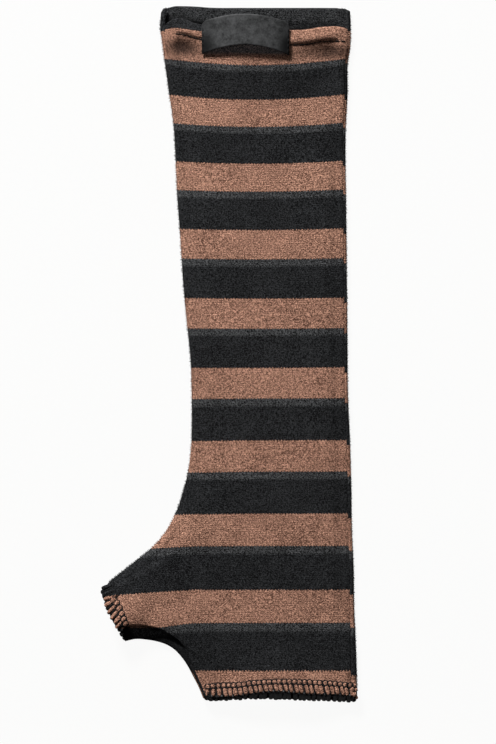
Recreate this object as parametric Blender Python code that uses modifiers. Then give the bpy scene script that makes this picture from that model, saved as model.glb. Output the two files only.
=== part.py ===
"""A long knitted wrist warmer, laid flat on its back with the arm end along +Y.

Two panels of the same cut, each with half of the thumb, are sewn together along the thumb side,
the palm side and the fork between thumb and fingers. The back panel comes round both folds a
little way onto the front. Arm, finger and thumb ends are open, and a label strip bows over the
front at the arm end.
"""

import math

import bmesh
import bpy
from mathutils import Vector

# Sizes are in millimetres. Across is +X and along is +Y, from the middle of the outline.
MM = 0.001
COLLECTION = "wrist_warmer"

# Cloth, thicker where the arm end is turned in, and the gaps between layers and at seams.
# The hem's stitches press in a trough: distance from the rim, half width, depth
WALL = 1.4
HEM_WALL = 2.4
HEM_DEPTH = 6.5
HEM_STEP = 3.0
HEM_STITCH = (8.0, 2.2, 0.5)
LAYER_GAP = 0.3
SEAM_GAP = 0.5

# Rounded folds along the seams: outer radius, furrow of the seam, which is deeper and wider for
# each millimetre that the back comes round past the fold, and the border of each panel, where
# the seam allowances raise a ridge that falls off from its end
FOLD = 2.4
FURROW = 0.5
FURROW_WIDTH = 1.1
FURROW_DEEPER = 0.32
FURROW_WIDER = 0.5
BORDER = 9.0
RIDGE_END = 3.5

# The thumb side, from the arm end round the upper edge of the thumb to the tip of its rim.
# Wrap is how far the back panel comes round onto the front.
# Columns: across, along, wrap
THUMB_SIDE = (
    (-39.4, 197.0, 3.0),
    (-39.8, 189.7, 2.6),
    (-38.9, 181.7, 1.2),
    (-37.3, 170.2, 0.9),
    (-34.9, 153.0, 0.9),
    (-32.4, 135.8, 0.9),
    (-30.9, 112.8, 0.9),
    (-29.8, 89.8, 0.8),
    (-28.1, 66.9, 0.8),
    (-26.7, 43.9, 0.8),
    (-24.6, 21.0, 0.9),
    (-22.3, -2.0, 0.9),
    (-21.6, -25.0, 0.9),
    (-21.6, -40.0, 0.9),
    (-22.1, -53.7, 1.0),
    (-23.6, -65.1, 1.0),
    (-26.4, -76.6, 1.0),
    (-30.1, -88.1, 1.0),
    (-35.8, -99.2, 1.0),
    (-42.5, -107.8, 1.0),
    (-50.7, -114.8, 1.0),
    (-60.4, -122.5, 1.0),
    (-68.3, -128.7, 1.0),
    (-73.0, -134.0, 1.0),
)

# The palm side, from the arm end to the finger end. Columns: across, along, wrap
PALM_SIDE = (
    (69.2, 199.0, 1.0),
    (69.5, 189.7, 0.9),
    (69.4, 178.0, 0.9),
    (67.9, 168.5, 0.9),
    (67.8, 153.0, 0.9),
    (66.7, 130.0, 0.9),
    (66.9, 89.8, 1.0),
    (67.4, 43.9, 1.1),
    (67.7, 9.5, 1.2),
    (68.1, -25.0, 1.3),
    (69.2, -50.0, 1.5),
    (69.9, -75.0, 1.5),
    (70.3, -100.0, 1.7),
    (71.2, -120.0, 2.1),
    (71.6, -145.0, 2.2),
    (72.5, -165.0, 2.6),
    (73.0, -182.0, 3.0),
    (73.4, -200.0, 3.2),
)

# The fork, from the lower corner of the thumb rim to the finger end. Columns: across, along, wrap
FORK = (
    (-59.0, -163.2, 7.2),
    (-54.0, -162.2, 7.5),
    (-47.5, -162.6, 7.0),
    (-41.2, -163.7, 6.2),
    (-36.6, -165.2, 5.2),
    (-31.3, -168.5, 4.4),
    (-26.9, -173.5, 3.6),
    (-23.6, -179.0, 2.6),
    (-20.6, -185.5, 1.8),
    (-17.8, -191.5, 1.5),
    (-15.2, -198.2, 1.5),
)

# Rims of the two panels at the arm end and at the finger end. Columns: across, front, back
ARM_RIM = (
    (-39.8, 188.0, 195.5),
    (-38.2, 189.0, 198.0),
    (-35.6, 191.2, 199.2),
    (-31.0, 192.6, 200.0),
    (-26.0, 192.0, 200.0),
    (-20.0, 190.1, 199.8),
    (-12.0, 188.4, 199.2),
    (9.0, 186.6, 199.0),
    (30.0, 185.9, 199.0),
    (44.0, 186.4, 199.0),
    (53.0, 188.0, 199.0),
    (62.0, 188.4, 199.0),
    (66.5, 188.0, 198.6),
    (69.5, 186.4, 196.0),
)
FINGER_RIM = (
    (-15.2, -194.0, -196.6),
    (-12.9, -194.9, -197.5),
    (4.3, -194.6, -196.8),
    (15.8, -192.6, -196.5),
    (29.6, -191.7, -196.7),
    (41.0, -192.9, -197.1),
    (54.0, -193.6, -197.5),
    (66.0, -193.9, -198.0),
    (71.0, -194.6, -198.2),
    (73.5, -194.6, -197.0),
)

# How far the thumb's rows bulge towards its rim, and how fast that fades inwards
THUMB_RIM_BULGE = 1.7
THUMB_BULGE_FADE = 4

# Where the thumb leaves the hand: on the thumb side, and as a share of the fork
THUMB_ROOT = -82.0
FORK_ROOT = 0.56

# How the front panel arches over each open end: height at the rim, depth from it
ARM_ARCH = (8.4, 75.0)
FINGER_ARCH = (8.2, 50.0)
THUMB_ARCH = (9.2, 40.0)

# Soft dimples below the turned hem, and soft ridges, of the front panel.
# Columns: across, along, half length, half width, turn in degrees, height
CREASES = (
    (-27.0, 178.5, 8.0, 4.5, -14.0, -1.9),
    (58.0, 175.5, 8.0, 4.0, 8.0, -1.5),
    (-12.0, 166.0, 16.0, 5.0, -24.0, 0.6),
    (46.0, 163.0, 15.0, 5.0, 20.0, 0.6),
    (-30.0, -112.0, 22.0, 5.0, 38.0, 0.7),
    (-20.0, -146.0, 18.0, 5.0, 52.0, 0.6),
)

# Rows and columns of the panels: distances from the arm rim, counts, and shares of a stretch
HEM_ROWS = (0.0, 3.0, 6.0, 8.0, 11.0, 15.0, 21.0, 29.0)
ARM_ROWS = 18
ROOT_ROWS = 8
FINGER_ROWS = (0.0, 0.24, 0.46, 0.66, 0.84, 1.0)
THUMB_ROWS = 9
COLUMNS = 8
BACK_STEPS = (0.5, 1.0)
CURL_STEPS = 6
FRONT_STEPS = (0.0, 0.1, 0.25, 0.44, 0.7, 1.0)
WAY_TURN = 16.0
RIM_FADE = 30.0
TANGENT_REACH = 1.0

# Label strip: where its two sewn ends lie across and along, and its bow up and towards the arm
LABEL_ENDS = (-15.8, 34.2)
LABEL_FOOT = (173.5, 172.8)
LABEL_HEIGHT = 16.3
LABEL_WALL = 1.0
LABEL_GAP = 0.4
LABEL_RISE = 5.5
LABEL_LEAN = 6.4
LABEL_BOW = 0.8
LABEL_COLUMNS = 18
LABEL_ROWS = 4

# Materials. Columns: red, green, blue, roughness
BROWN_KNIT = (0.34, 0.19, 0.13, 0.9)
CHARCOAL_KNIT = (0.025, 0.026, 0.028, 0.9)
LABEL_CLOTH = (0.05, 0.052, 0.054, 0.5)

WELD = 1e-6


def smoothstep(start, end, value):
    """0 before start, 1 after end, and an even turn between them."""
    share = min(max((value - start) / (end - start), 0.0), 1.0)
    return share * share * (3 - 2 * share)


def smooth_line(table, steps=12):
    """The rows of a table joined by a smooth line in short steps, all columns together."""
    rows = [Vector(row) for row in table]
    gaps = [(b.xy - a.xy).length for a, b in zip(rows, rows[1:])]
    slopes = [(b - a) / gap for a, b, gap in zip(rows, rows[1:], gaps)]
    tangents = [slopes[0]]
    for before, after, gap, next_gap in zip(slopes, slopes[1:], gaps, gaps[1:]):
        tangents.append((before * next_gap + after * gap) / (gap + next_gap))
    tangents.append(slopes[-1])
    line = []
    for i, gap in enumerate(gaps):
        for step in range(steps):
            t = step / steps
            line.append(
                (2 * t**3 - 3 * t**2 + 1) * rows[i]
                + (t**3 - 2 * t**2 + t) * gap * tangents[i]
                + (3 * t**2 - 2 * t**3) * rows[i + 1]
                + (t**3 - t**2) * gap * tangents[i + 1]
            )
    return [*line, rows[-1]]


def between(keys, values, key):
    """The value at a key, where the keys rise or fall all the way, held at both ends."""
    if keys[0] > keys[-1]:
        keys, values = keys[::-1], values[::-1]
    if key <= keys[0]:
        return values[0]
    for low, high, start, end in zip(keys, keys[1:], values, values[1:]):
        if key <= high:
            return start + (end - start) * (key - low) / (high - low)
    return values[-1]


def lengths(line):
    """The length of the line up to each of its points."""
    total = [0.0]
    for a, b in zip(line, line[1:]):
        total.append(total[-1] + (b.xy - a.xy).length)
    return total


THUMB_LINE = smooth_line(THUMB_SIDE)
PALM_LINE = smooth_line(PALM_SIDE)
FORK_LINE = smooth_line(FORK)
RIMS = {"arm": smooth_line(ARM_RIM), "finger": smooth_line(FINGER_RIM)}
FRONT, BACK = 1, 2

# Where the end rows of each panel would lie without the curves of its rims: arm, finger
END_ROWS = {FRONT: (190.0, -194.6), BACK: (197.0, -198.2)}

# The mouth of the thumb, as a straight line from its tip to the fork
TIP = Vector(THUMB_SIDE[-1][:2])
MOUTH = Vector(FORK[0][:2]) - TIP
MOUTH_WAY = MOUTH.normalized()
MOUTH_OUT = Vector((MOUTH_WAY.y, -MOUTH_WAY.x))


def rim_along(end, panel, across):
    """How far along a rim lies at a place across it."""
    rows = RIMS[end]
    return between([row.x for row in rows], [row[panel] for row in rows], across)


def arched(height, depth, share, inside):
    """The lift of an arch over an open end: full at its rim and middle, none at its sides."""
    crossing = max(1 - (2 * share - 1) ** 2, 0.0)
    return height * crossing * (1 - smoothstep(0.0, depth, inside))


def arch(across, along):
    """How far the front panel is lifted off the back one at a place, by all three open ends."""
    arm = (across - THUMB_SIDE[0][0]) / (PALM_SIDE[0][0] - THUMB_SIDE[0][0])
    finger = (across - FORK[-1][0]) / (PALM_SIDE[-1][0] - FORK[-1][0])
    offset = Vector((across, along)) - TIP
    thumb = offset.dot(MOUTH_WAY) / MOUTH.length
    return (
        arched(*ARM_ARCH, arm, ARM_RIM[-1][FRONT] - along)
        + arched(*FINGER_ARCH, finger, along - FINGER_RIM[-1][FRONT])
        + arched(*THUMB_ARCH, thumb, -offset.dot(MOUTH_OUT))
    )


def crease(across, along):
    """The height of all creases at a place."""
    total = 0.0
    for x, y, half_length, half_width, turn, height in CREASES:
        way = Vector((math.cos(math.radians(turn)), math.sin(math.radians(turn))))
        offset = Vector((across - x, along - y))
        far = offset.dot(way) / half_length
        side = offset.cross(way) / half_width
        total += height * math.exp(-far * far - side * side)
    return total


def wall(panel, across, along):
    """The thickness of a panel: doubled where its arm end is turned in, but not at the folds."""
    side = min(across - THUMB_SIDE[0][0], PALM_SIDE[0][0] - across)
    below = rim_along("arm", panel, across) - along
    turned = 1 - smoothstep(HEM_DEPTH, HEM_DEPTH + HEM_STEP, below)
    return WALL + (HEM_WALL - WALL) * turned * smoothstep(FOLD, BORDER, side)


def front_height(across, along):
    """The height of the front panel's outer side, away from the seams."""
    layers = wall(FRONT, across, along) + LAYER_GAP + wall(BACK, across, along)
    place, width, depth = HEM_STITCH
    below = rim_along("arm", FRONT, across) - along
    trough = depth * math.exp(-(((below - place) / width) ** 2))
    return layers + arch(across, along) + crease(across, along) - trough


def curl_length(wrap):
    """How far the back panel runs from the ground round the fold, for its wrap onto the front."""
    if wrap < FOLD:
        return FOLD * (math.pi / 2 + math.acos(1 - wrap / FOLD))
    return FOLD * math.pi + wrap - FOLD


def round_fold(run, sink):
    """Distance from the silhouette and height, a run of cloth round the fold from the ground."""
    if run < FOLD * math.pi:
        turn = run / FOLD - math.pi / 2
        return FOLD - (FOLD - sink) * math.cos(turn), FOLD + (FOLD - sink) * math.sin(turn)
    return FOLD + run - FOLD * math.pi, 2 * FOLD - sink


def furrow(wrap, distance, widens):
    """How far a seam pulls the cloth in, at a distance from it."""
    past = max(wrap - FOLD, 0.0)
    width = FURROW_WIDTH + FURROW_WIDER * past * widens
    return (FURROW + FURROW_DEEPER * past) * math.exp(-((distance / width) ** 2))


def to_rims(panel, spot):
    """Moves a place near the arm or finger end so that the end rows follow the rims."""
    base_arm, base_finger = END_ROWS[panel]
    arm = rim_along("arm", panel, spot.x) - base_arm
    finger = rim_along("finger", panel, spot.x) - base_finger
    along = (
        spot.y
        + arm * (1 - smoothstep(0.0, RIM_FADE, base_arm - spot.y))
        + finger * (1 - smoothstep(0.0, RIM_FADE, spot.y - base_finger))
    )
    return Vector((spot.x, along))


def placed(panel, section, out, height):
    """A point at a distance in from the silhouette of a section, lifted with the arch above the fold."""
    edge, way, _ = section
    spot = to_rims(panel, edge + way * out)
    lift = smoothstep(FOLD, 2 * FOLD - FURROW, height)
    return Vector((spot.x, spot.y, height + lift * arch(spot.x, spot.y)))


def back_border(section):
    """The back panel beside a seam, from its edge on the front down round the fold."""
    wrap = section[2]
    end = curl_length(wrap)
    points = []
    for step in range(CURL_STEPS + 1):
        run = end * (1 - step / CURL_STEPS)
        points.append(placed(BACK, section, *round_fold(run, furrow(wrap, end - run, 1))))
    for share in BACK_STEPS:
        points.append(placed(BACK, section, FOLD + (BORDER - FOLD) * share, 0.0))
    return points


def front_border(section):
    """The front panel beside a seam, from its edge over the ridge of the seam allowances."""
    wrap = section[2]
    start = curl_length(wrap) + SEAM_GAP
    points = []
    for share in FRONT_STEPS:
        run = BORDER * share
        point = placed(FRONT, section, *round_fold(start + run, furrow(wrap, run, 0)))
        rest = front_height(point.x, point.y)
        point.z += (rest - point.z) * smoothstep(RIDGE_END, BORDER, run)
        points.append(point)
    return points


def border(panel, section):
    """A panel's outer points beside a seam, from the seam inwards."""
    return front_border(section) if panel == FRONT else back_border(section)


def inner_end(panel, section):
    """The place where a panel's border beside a seam ends, before the rims shift it."""
    edge, way, wrap = section
    if panel == BACK:
        return edge + way * BORDER
    return edge + way * round_fold(curl_length(wrap) + SEAM_GAP + BORDER, 0.0)[0]


def sections(line, distances, turn, first_way=None, last_way=None):
    """Where sections cross a silhouette: its point, the way in from there, and the wrap.

    Towards an open end the way in turns to lie along that end's rim.
    """
    run = lengths(line)
    found = []
    for distance in distances:
        spot = Vector([between(run, [p[k] for p in line], distance) for k in range(3)])
        ahead, behind = (
            Vector([between(run, [p[k] for p in line], distance + reach) for k in range(2)])
            for reach in (TANGENT_REACH, -TANGENT_REACH)
        )
        tangent = (ahead - behind).normalized()
        way = Vector((-tangent.y, tangent.x)) * turn
        for end_way, away in ((first_way, distance - distances[0]), (last_way, distances[-1] - distance)):
            if end_way:
                way = way.lerp(end_way, 1 - smoothstep(0.0, WAY_TURN, away)).normalized()
        found.append((spot.xy, way, spot.z))
    return found


def palm_section(along):
    """The section of the palm side at a place along it."""
    keys = [p.y for p in PALM_LINE]
    across = between(keys, [p.x for p in PALM_LINE], along)
    wrap = between(keys, [p.z for p in PALM_LINE], along)
    return Vector((across, along)), Vector((-1.0, 0.0)), wrap


def straight(start, end, count):
    """Points from start to end, both included."""
    return [start.lerp(end, step / count) for step in range(count + 1)]


def on_panel(panel, spot):
    """A point of a panel's outer side away from the seams."""
    spot = to_rims(panel, spot)
    height = front_height(spot.x, spot.y) if panel == FRONT else 0.0
    return Vector((spot.x, spot.y, height))


def panel_grids(panel):
    """The four grids of a panel's outer side: arm, hand, fingers and thumb."""
    base_arm, base_finger = END_ROWS[panel]
    run = lengths(THUMB_LINE)
    keys = [p.y for p in THUMB_LINE]
    start = between(keys, run, base_arm)
    root = between(keys, run, THUMB_ROOT)
    hem = [start + row for row in HEM_ROWS]
    arm = [hem[-1] + (root - hem[-1]) * step / ARM_ROWS for step in range(1, ARM_ROWS + 1)]
    thumb = [root + (run[-1] - root) * step / THUMB_ROWS for step in range(1, THUMB_ROWS + 1)]
    side = sections(THUMB_LINE, [*hem, *arm, *thumb], 1, Vector((1.0, 0.0)), MOUTH_WAY)
    arm_side, thumb_side = side[: len(hem) + len(arm)], side[len(hem) + len(arm) - 1 :]

    fork_run = lengths(FORK_LINE)
    lowest = max(k for k, p in enumerate(FORK_LINE) if p.y >= FORK[0][1])
    fork_end = between([p.y for p in FORK_LINE[lowest:]], fork_run[lowest:], base_finger)
    fork_root = fork_run[-1] * FORK_ROOT
    inner = [fork_root * step / THUMB_ROWS for step in range(THUMB_ROWS + 1)]
    outer = [fork_root + (fork_end - fork_root) * share for share in FINGER_ROWS[1:]]
    fork = sections(FORK_LINE, [*inner, *outer], 1, -MOUTH_WAY, Vector((1.0, 0.0)))
    fork_thumb, fork_finger = fork[: THUMB_ROWS + 1][::-1], fork[THUMB_ROWS:]

    def row(left_points, left_spot):
        palm = palm_section(left_spot.y)
        middle = straight(left_spot, inner_end(panel, palm), COLUMNS)[1:-1]
        return [*left_points, *(on_panel(panel, spot) for spot in middle), *border(panel, palm)[::-1]]

    def full_row(section):
        return row(border(panel, section), inner_end(panel, section))

    arm_grid = [full_row(section) for section in arm_side]
    finger_grid = [full_row(section) for section in fork_finger]
    root_line = straight(inner_end(panel, thumb_side[0]), inner_end(panel, fork_thumb[0]), ROOT_ROWS)
    hand_grid = [row([on_panel(panel, spot)], spot) for spot in root_line]

    thumb_grid = []
    for top, low in zip(thumb_side, fork_thumb):
        middle = straight(inner_end(panel, top), inner_end(panel, low), ROOT_ROWS)[1:-1]
        thumb_grid.append(
            [
                *border(panel, top),
                *(on_panel(panel, spot) for spot in middle),
                *border(panel, low)[::-1],
            ]
        )
    thumb_grid = [bulged(line, step / THUMB_ROWS) for step, line in enumerate(thumb_grid)]
    return arm_grid, hand_grid, finger_grid, thumb_grid


def bulged(line, share):
    """A row of the thumb, moved out towards the curve of its rim."""
    moved = []
    for point in line:
        place = (point.xy - TIP).dot(MOUTH_WAY) / MOUTH.length
        out = THUMB_RIM_BULGE * math.sqrt(max(1 - (2 * place - 1) ** 2, 0.0)) * share**THUMB_BULGE_FADE
        moved.append(Vector((*(point.xy + MOUTH_OUT * out), point.z)))
    return moved


def material(name, red, green, blue, roughness):
    """A plain material of one colour."""
    made = bpy.data.materials.new(name)
    made.use_nodes = True
    shader = made.node_tree.nodes["Principled BSDF"]
    shader.inputs["Base Color"].default_value = (red, green, blue, 1.0)
    shader.inputs["Roughness"].default_value = roughness
    shader.inputs["Metallic"].default_value = 0.0
    made.diffuse_color = (red, green, blue, 1.0)
    return made


def sheet(name, grids, thickness, thickest, outward, finish, collection):
    """One closed wall of cloth, from grids of its outer points, thickened inwards."""
    bm = bmesh.new()
    weights = bm.verts.layers.deform.verify()
    for grid in grids:
        verts = [[bm.verts.new(point * MM) for point in line] for line in grid]
        for line, points in zip(verts, grid):
            for vert, point in zip(line, points):
                vert[weights][0] = thickness(point) / thickest
        for near, far in zip(verts, verts[1:]):
            for a, b, c, d in zip(near, near[1:], far[1:], far):
                bm.faces.new((a, b, c, d))
    bmesh.ops.remove_doubles(bm, verts=bm.verts, dist=WELD)
    if not outward:
        bmesh.ops.reverse_faces(bm, faces=bm.faces)
    mesh = bpy.data.meshes.new(name)
    bm.to_mesh(mesh)
    bm.free()
    mesh.shade_smooth()
    made = bpy.data.objects.new(name, mesh)
    made.vertex_groups.new(name="wall")
    solid = made.modifiers.new("wall", "SOLIDIFY")
    solid.thickness = thickest * MM
    solid.offset = -1.0
    solid.use_even_offset = True
    solid.use_quality_normals = True
    solid.vertex_group = "wall"
    made.data.materials.append(finish)
    collection.objects.link(made)
    return made


def label_grid():
    """The label's under side: sewn at both ends, bowed up and towards the arm between them."""
    grid = []
    for column in range(LABEL_COLUMNS + 1):
        share = column / LABEL_COLUMNS
        across = LABEL_ENDS[0] + (LABEL_ENDS[1] - LABEL_ENDS[0]) * share
        foot = LABEL_FOOT[0] + (LABEL_FOOT[1] - LABEL_FOOT[0]) * share
        bow = math.sin(math.pi * share) ** LABEL_BOW if 0 < column < LABEL_COLUMNS else 0.0
        line = []
        for step in range(LABEL_ROWS + 1):
            along = foot + LABEL_HEIGHT * step / LABEL_ROWS
            under = front_height(across, along) + LABEL_GAP
            line.append(Vector((across, along + LABEL_LEAN * bow, under + LABEL_RISE * bow)))
        grid.append(line)
    return grid


def build():
    """Makes the two panels and the label in a collection of their own."""
    for old in list(bpy.data.objects):
        bpy.data.objects.remove(old, do_unlink=True)
    collection = bpy.data.collections.new(COLLECTION)
    bpy.context.scene.collection.children.link(collection)
    sheet(
        "front_panel",
        panel_grids(FRONT),
        lambda point: wall(FRONT, point.x, point.y),
        HEM_WALL,
        False,
        material("brown_knit", *BROWN_KNIT),
        collection,
    )
    sheet(
        "back_panel",
        panel_grids(BACK),
        lambda point: wall(BACK, point.x, point.y),
        HEM_WALL,
        True,
        material("charcoal_knit", *CHARCOAL_KNIT),
        collection,
    )
    sheet(
        "label",
        [label_grid()],
        lambda point: LABEL_WALL,
        LABEL_WALL,
        True,
        material("label_cloth", *LABEL_CLOTH),
        collection,
    )


build()
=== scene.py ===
"""A knitted wrist warmer laid flat: its cloth, stitches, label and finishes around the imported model."""

import math
import random

import bpy
import numpy as np
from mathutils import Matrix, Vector, noise
from mathutils.bvhtree import BVHTree


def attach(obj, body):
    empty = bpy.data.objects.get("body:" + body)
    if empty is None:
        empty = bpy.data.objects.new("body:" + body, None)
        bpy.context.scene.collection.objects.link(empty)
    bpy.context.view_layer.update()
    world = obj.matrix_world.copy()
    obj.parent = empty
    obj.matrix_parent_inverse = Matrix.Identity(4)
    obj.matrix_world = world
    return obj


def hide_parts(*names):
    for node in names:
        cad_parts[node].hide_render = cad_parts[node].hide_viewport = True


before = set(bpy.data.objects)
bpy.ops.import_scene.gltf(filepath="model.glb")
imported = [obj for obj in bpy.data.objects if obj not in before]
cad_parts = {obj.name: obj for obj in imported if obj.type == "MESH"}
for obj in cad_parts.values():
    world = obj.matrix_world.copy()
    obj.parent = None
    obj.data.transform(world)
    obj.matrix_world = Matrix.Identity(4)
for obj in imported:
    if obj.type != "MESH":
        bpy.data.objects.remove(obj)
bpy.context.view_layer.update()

# Sizes are in millimetres. Across is +X and along is +Y, from the middle of the outline.
MM = 0.001

# Cloth, thicker where the arm end is turned in, and the gaps between layers and at seams. The hem's
# stitches press in a trough beside a roll. Columns: distance from the rim, half width, height
WALL = 1.4
HEM_WALL = 2.4
HEM_DEPTH = 6.5
HEM_STEP = 3.0
HEM_WAVES = ((7.6, 1.0, -0.9), (4.0, 2.9, 0.6))
LAYER_GAP = 0.3
SEAM_GAP = 0.5

# Rounded folds along the seams: outer radius, furrow of the seam, which is deeper and wider for
# each millimetre that the back comes round past the fold, and the border of each panel, where
# the seam allowances raise a ridge that falls off from its end. Where the back comes further round
# than the fold by the first of the pressed values, the furrow is shallower and the ridge narrower
FOLD = 2.4
FURROW = 0.5
FURROW_WIDTH = 1.1
FURROW_DEEPER = 0.32
FURROW_WIDER = 0.5
PRESSED_WRAP = 2.0
PRESSED_FRONT = 0.6
PRESSED_ROLL = 1.0
BORDER = 9.0
BORDER_CROWDED = 1.2
RIDGE_END = 3.5

# The thumb side, from the arm end round the upper edge of the thumb to the tip of its rim.
# Wrap is how far the back panel comes round onto the front.
# Columns: across, along, wrap
THUMB_SIDE = (
    (-39.4, 197.0, 3.0), (-39.8, 189.7, 2.6), (-38.9, 181.7, 1.2), (-37.3, 170.2, 0.9),
    (-34.9, 153.0, 0.9), (-32.4, 135.8, 0.9), (-30.9, 112.8, 0.9), (-29.8, 89.8, 0.8),
    (-28.1, 66.9, 0.8), (-26.7, 43.9, 0.8), (-24.6, 21.0, 0.9), (-22.3, -2.0, 0.9), (-21.6, -25.0, 0.9),
    (-21.6, -40.0, 0.9), (-22.1, -53.7, 1.0), (-23.6, -65.1, 1.0), (-26.4, -76.6, 1.0),
    (-30.1, -88.1, 1.0), (-35.8, -99.2, 1.0), (-42.5, -107.8, 1.0), (-50.7, -114.8, 1.0),
    (-60.4, -122.5, 1.0), (-68.3, -128.7, 1.0), (-73.0, -134.0, 1.0),
)

# The palm side, from the arm end to the finger end. Columns: across, along, wrap
PALM_SIDE = (
    (69.2, 199.0, 1.0), (69.5, 189.7, 0.9), (69.4, 178.0, 0.9), (67.9, 168.5, 0.9), (67.8, 153.0, 0.9),
    (66.7, 130.0, 0.9), (66.9, 89.8, 1.0), (67.4, 43.9, 1.1), (67.7, 9.5, 1.2), (68.1, -25.0, 1.3),
    (69.2, -50.0, 1.5), (69.9, -75.0, 1.5), (70.3, -100.0, 1.7), (71.2, -120.0, 2.1),
    (71.6, -145.0, 2.2), (72.5, -165.0, 2.6), (73.0, -182.0, 3.0), (73.4, -200.0, 3.2),
)

# The fork, from the lower corner of the thumb rim to the finger end. Columns: across, along, wrap
FORK = (
    (-59.0, -163.2, 7.2), (-54.0, -162.2, 7.5), (-47.5, -162.6, 7.0), (-41.2, -163.7, 6.2),
    (-36.6, -165.2, 5.2), (-31.3, -168.5, 4.4), (-26.9, -173.5, 3.6), (-23.6, -179.0, 2.6),
    (-20.6, -185.5, 1.8), (-17.8, -191.5, 1.5), (-15.2, -198.2, 1.5),
)

# Rims of the two panels at the arm end and at the finger end. Columns: across, front, back
ARM_RIM = (
    (-39.8, 188.0, 196.8), (-38.2, 189.0, 198.9), (-35.6, 191.2, 199.6), (-31.0, 192.6, 200.0),
    (-26.0, 192.0, 200.0), (-20.0, 190.1, 199.8), (-12.0, 188.4, 199.2), (9.0, 186.6, 199.0),
    (30.0, 185.9, 199.0), (44.0, 186.4, 199.0), (53.0, 188.0, 199.0), (62.0, 188.4, 199.0),
    (66.5, 188.0, 199.2), (69.5, 186.4, 197.8),
)
FINGER_RIM = (
    (-15.2, -194.0, -195.9), (-12.9, -194.9, -196.7), (4.3, -194.6, -196.0), (15.8, -192.6, -195.7),
    (29.6, -191.7, -195.9), (41.0, -192.9, -196.3), (54.0, -193.6, -196.7), (66.0, -193.9, -197.2),
    (71.0, -194.6, -197.4), (73.5, -194.6, -196.2),
)

# How far the thumb's rows bulge towards its rim, and how fast that fades inwards
THUMB_RIM_BULGE = 1.0
THUMB_BULGE_FADE = 4

# Where the thumb leaves the hand: on the thumb side, and as a share of the fork
THUMB_ROOT = -82.0
FORK_ROOT = 0.56

# How the front panel arches over each open end: height at the rim, depth from it
ARM_ARCH = (8.4, 75.0)
FINGER_ARCH = (8.2, 50.0)
THUMB_ARCH = (9.2, 40.0)

# Soft dimples below the turned hem, and soft ridges, of the front panel.
# Columns: across, along, half length, half width, turn in degrees, height
CREASES = (
    (-29.0, 186.5, 9.0, 4.0, -10.0, 1.4),
    (-27.0, 177.4, 10.0, 4.2, -12.0, -2.8),
    (56.0, 183.8, 11.0, 4.0, 6.0, 0.7),
    (56.5, 174.4, 13.0, 4.2, 5.0, -2.0),
    (-12.0, 166.0, 16.0, 5.0, -24.0, 0.6),
    (46.0, 163.0, 15.0, 5.0, 20.0, 0.6),
    (-30.0, -112.0, 22.0, 5.0, 38.0, 0.7),
    (-20.0, -146.0, 18.0, 5.0, 52.0, 0.6),
    (-52.0, -154.5, 16.0, 9.0, -6.0, 3.2),
)

# Rows and columns of the cloth: steps along it near the hem and elsewhere, and counts. Then how far
# from an open end the rows turn and shift to follow its rim, how sections find their direction, the
# rounding of the cloth's edges, and the grid on which points are joined
HEM_FINE = 14.0
HEM_FINE_STEP = 0.8
HEM_ROWS_END = 29.0
ROW_STEP = 1.5
COLUMNS = 64
BACK_STEPS = 6
CURL_STEPS = 14
FRONT_STEPS = 13
ROOT_ROWS = 44
THUMB_ROWS = 44
FINGER_ROWS = 30
WAY_TURN = 16.0
RIM_FADE = 30.0
TANGENT_REACH = 1.0
RIM_STEPS = 4
SEAM_ROUND = 0.5
HEM_ROUND = 0.95
WELD = 0.01

# Soft unevenness of the cloth: height, size. It sets in above the first of two heights
UNEVEN = ((0.35, 34.0), (0.14, 11.0), (0.06, 3.5))
UNEVEN_SHIFT = (17.0, 5.0, 3.0)
UNEVEN_FROM = (0.6, 3.0)

# The stitched rims of fingers and thumb lie on the lumps of their own stitches
STITCHED_LIFT = 0.8
STITCHED_REACH = 11.0

# Air between the layers keeps the front above its folds, and it rises softly from the seams:
# height over the folds there, further rise, how far in that reaches, and how soft the turn is
CROWN = (0.05, 1.5, 18.0, 0.8)

FRONT, BACK = 1, 2


def smoothstep(start, end, value):
    """0 before start, 1 after end, and an even turn between them."""
    share = np.clip((value - start) / (end - start), 0.0, 1.0)
    return share * share * (3 - 2 * share)


def bell(value, middle, width):
    """1 at the middle and none far from it."""
    return np.exp(-(((value - middle) / width) ** 2))


def dome(share):
    """1 halfway and none at both ends."""
    return np.maximum(1 - (2 * share - 1) ** 2, 0.0)


def smooth_line(table, steps=12):
    """The rows of a table joined by a smooth line in short steps, all columns together."""
    rows = np.array(table, dtype=float)
    gaps = np.linalg.norm(np.diff(rows[:, :2], axis=0), axis=1)[:, None]
    slopes = np.diff(rows, axis=0) / gaps
    inner = (slopes[:-1] * gaps[1:] + slopes[1:] * gaps[:-1]) / (gaps[:-1] + gaps[1:])
    tangents = np.vstack([slopes[:1], inner, slopes[-1:]])
    t = (np.arange(steps) / steps)[:, None]
    parts = [
        (2 * t**3 - 3 * t**2 + 1) * rows[i]
        + (t**3 - 2 * t**2 + t) * gaps[i] * tangents[i]
        + (3 * t**2 - 2 * t**3) * rows[i + 1]
        + (t**3 - t**2) * gaps[i] * tangents[i + 1]
        for i in range(len(gaps))
    ]
    return np.vstack([*parts, rows[-1:]])


def between(keys, values, key):
    """The value at a key, where the keys rise or fall all the way, held at both ends."""
    if keys[0] > keys[-1]:
        keys, values = keys[::-1], values[::-1]
    return np.interp(key, keys, values)


def read(table, key):
    """The second column of a table at a place in its first."""
    return np.interp(key, *np.array(table).T)


def lengths(line):
    """The length of the line up to each of its points."""
    steps = np.linalg.norm(np.diff(line[:, :2], axis=0), axis=1)
    return np.concatenate([[0.0], np.cumsum(steps)])


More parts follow.
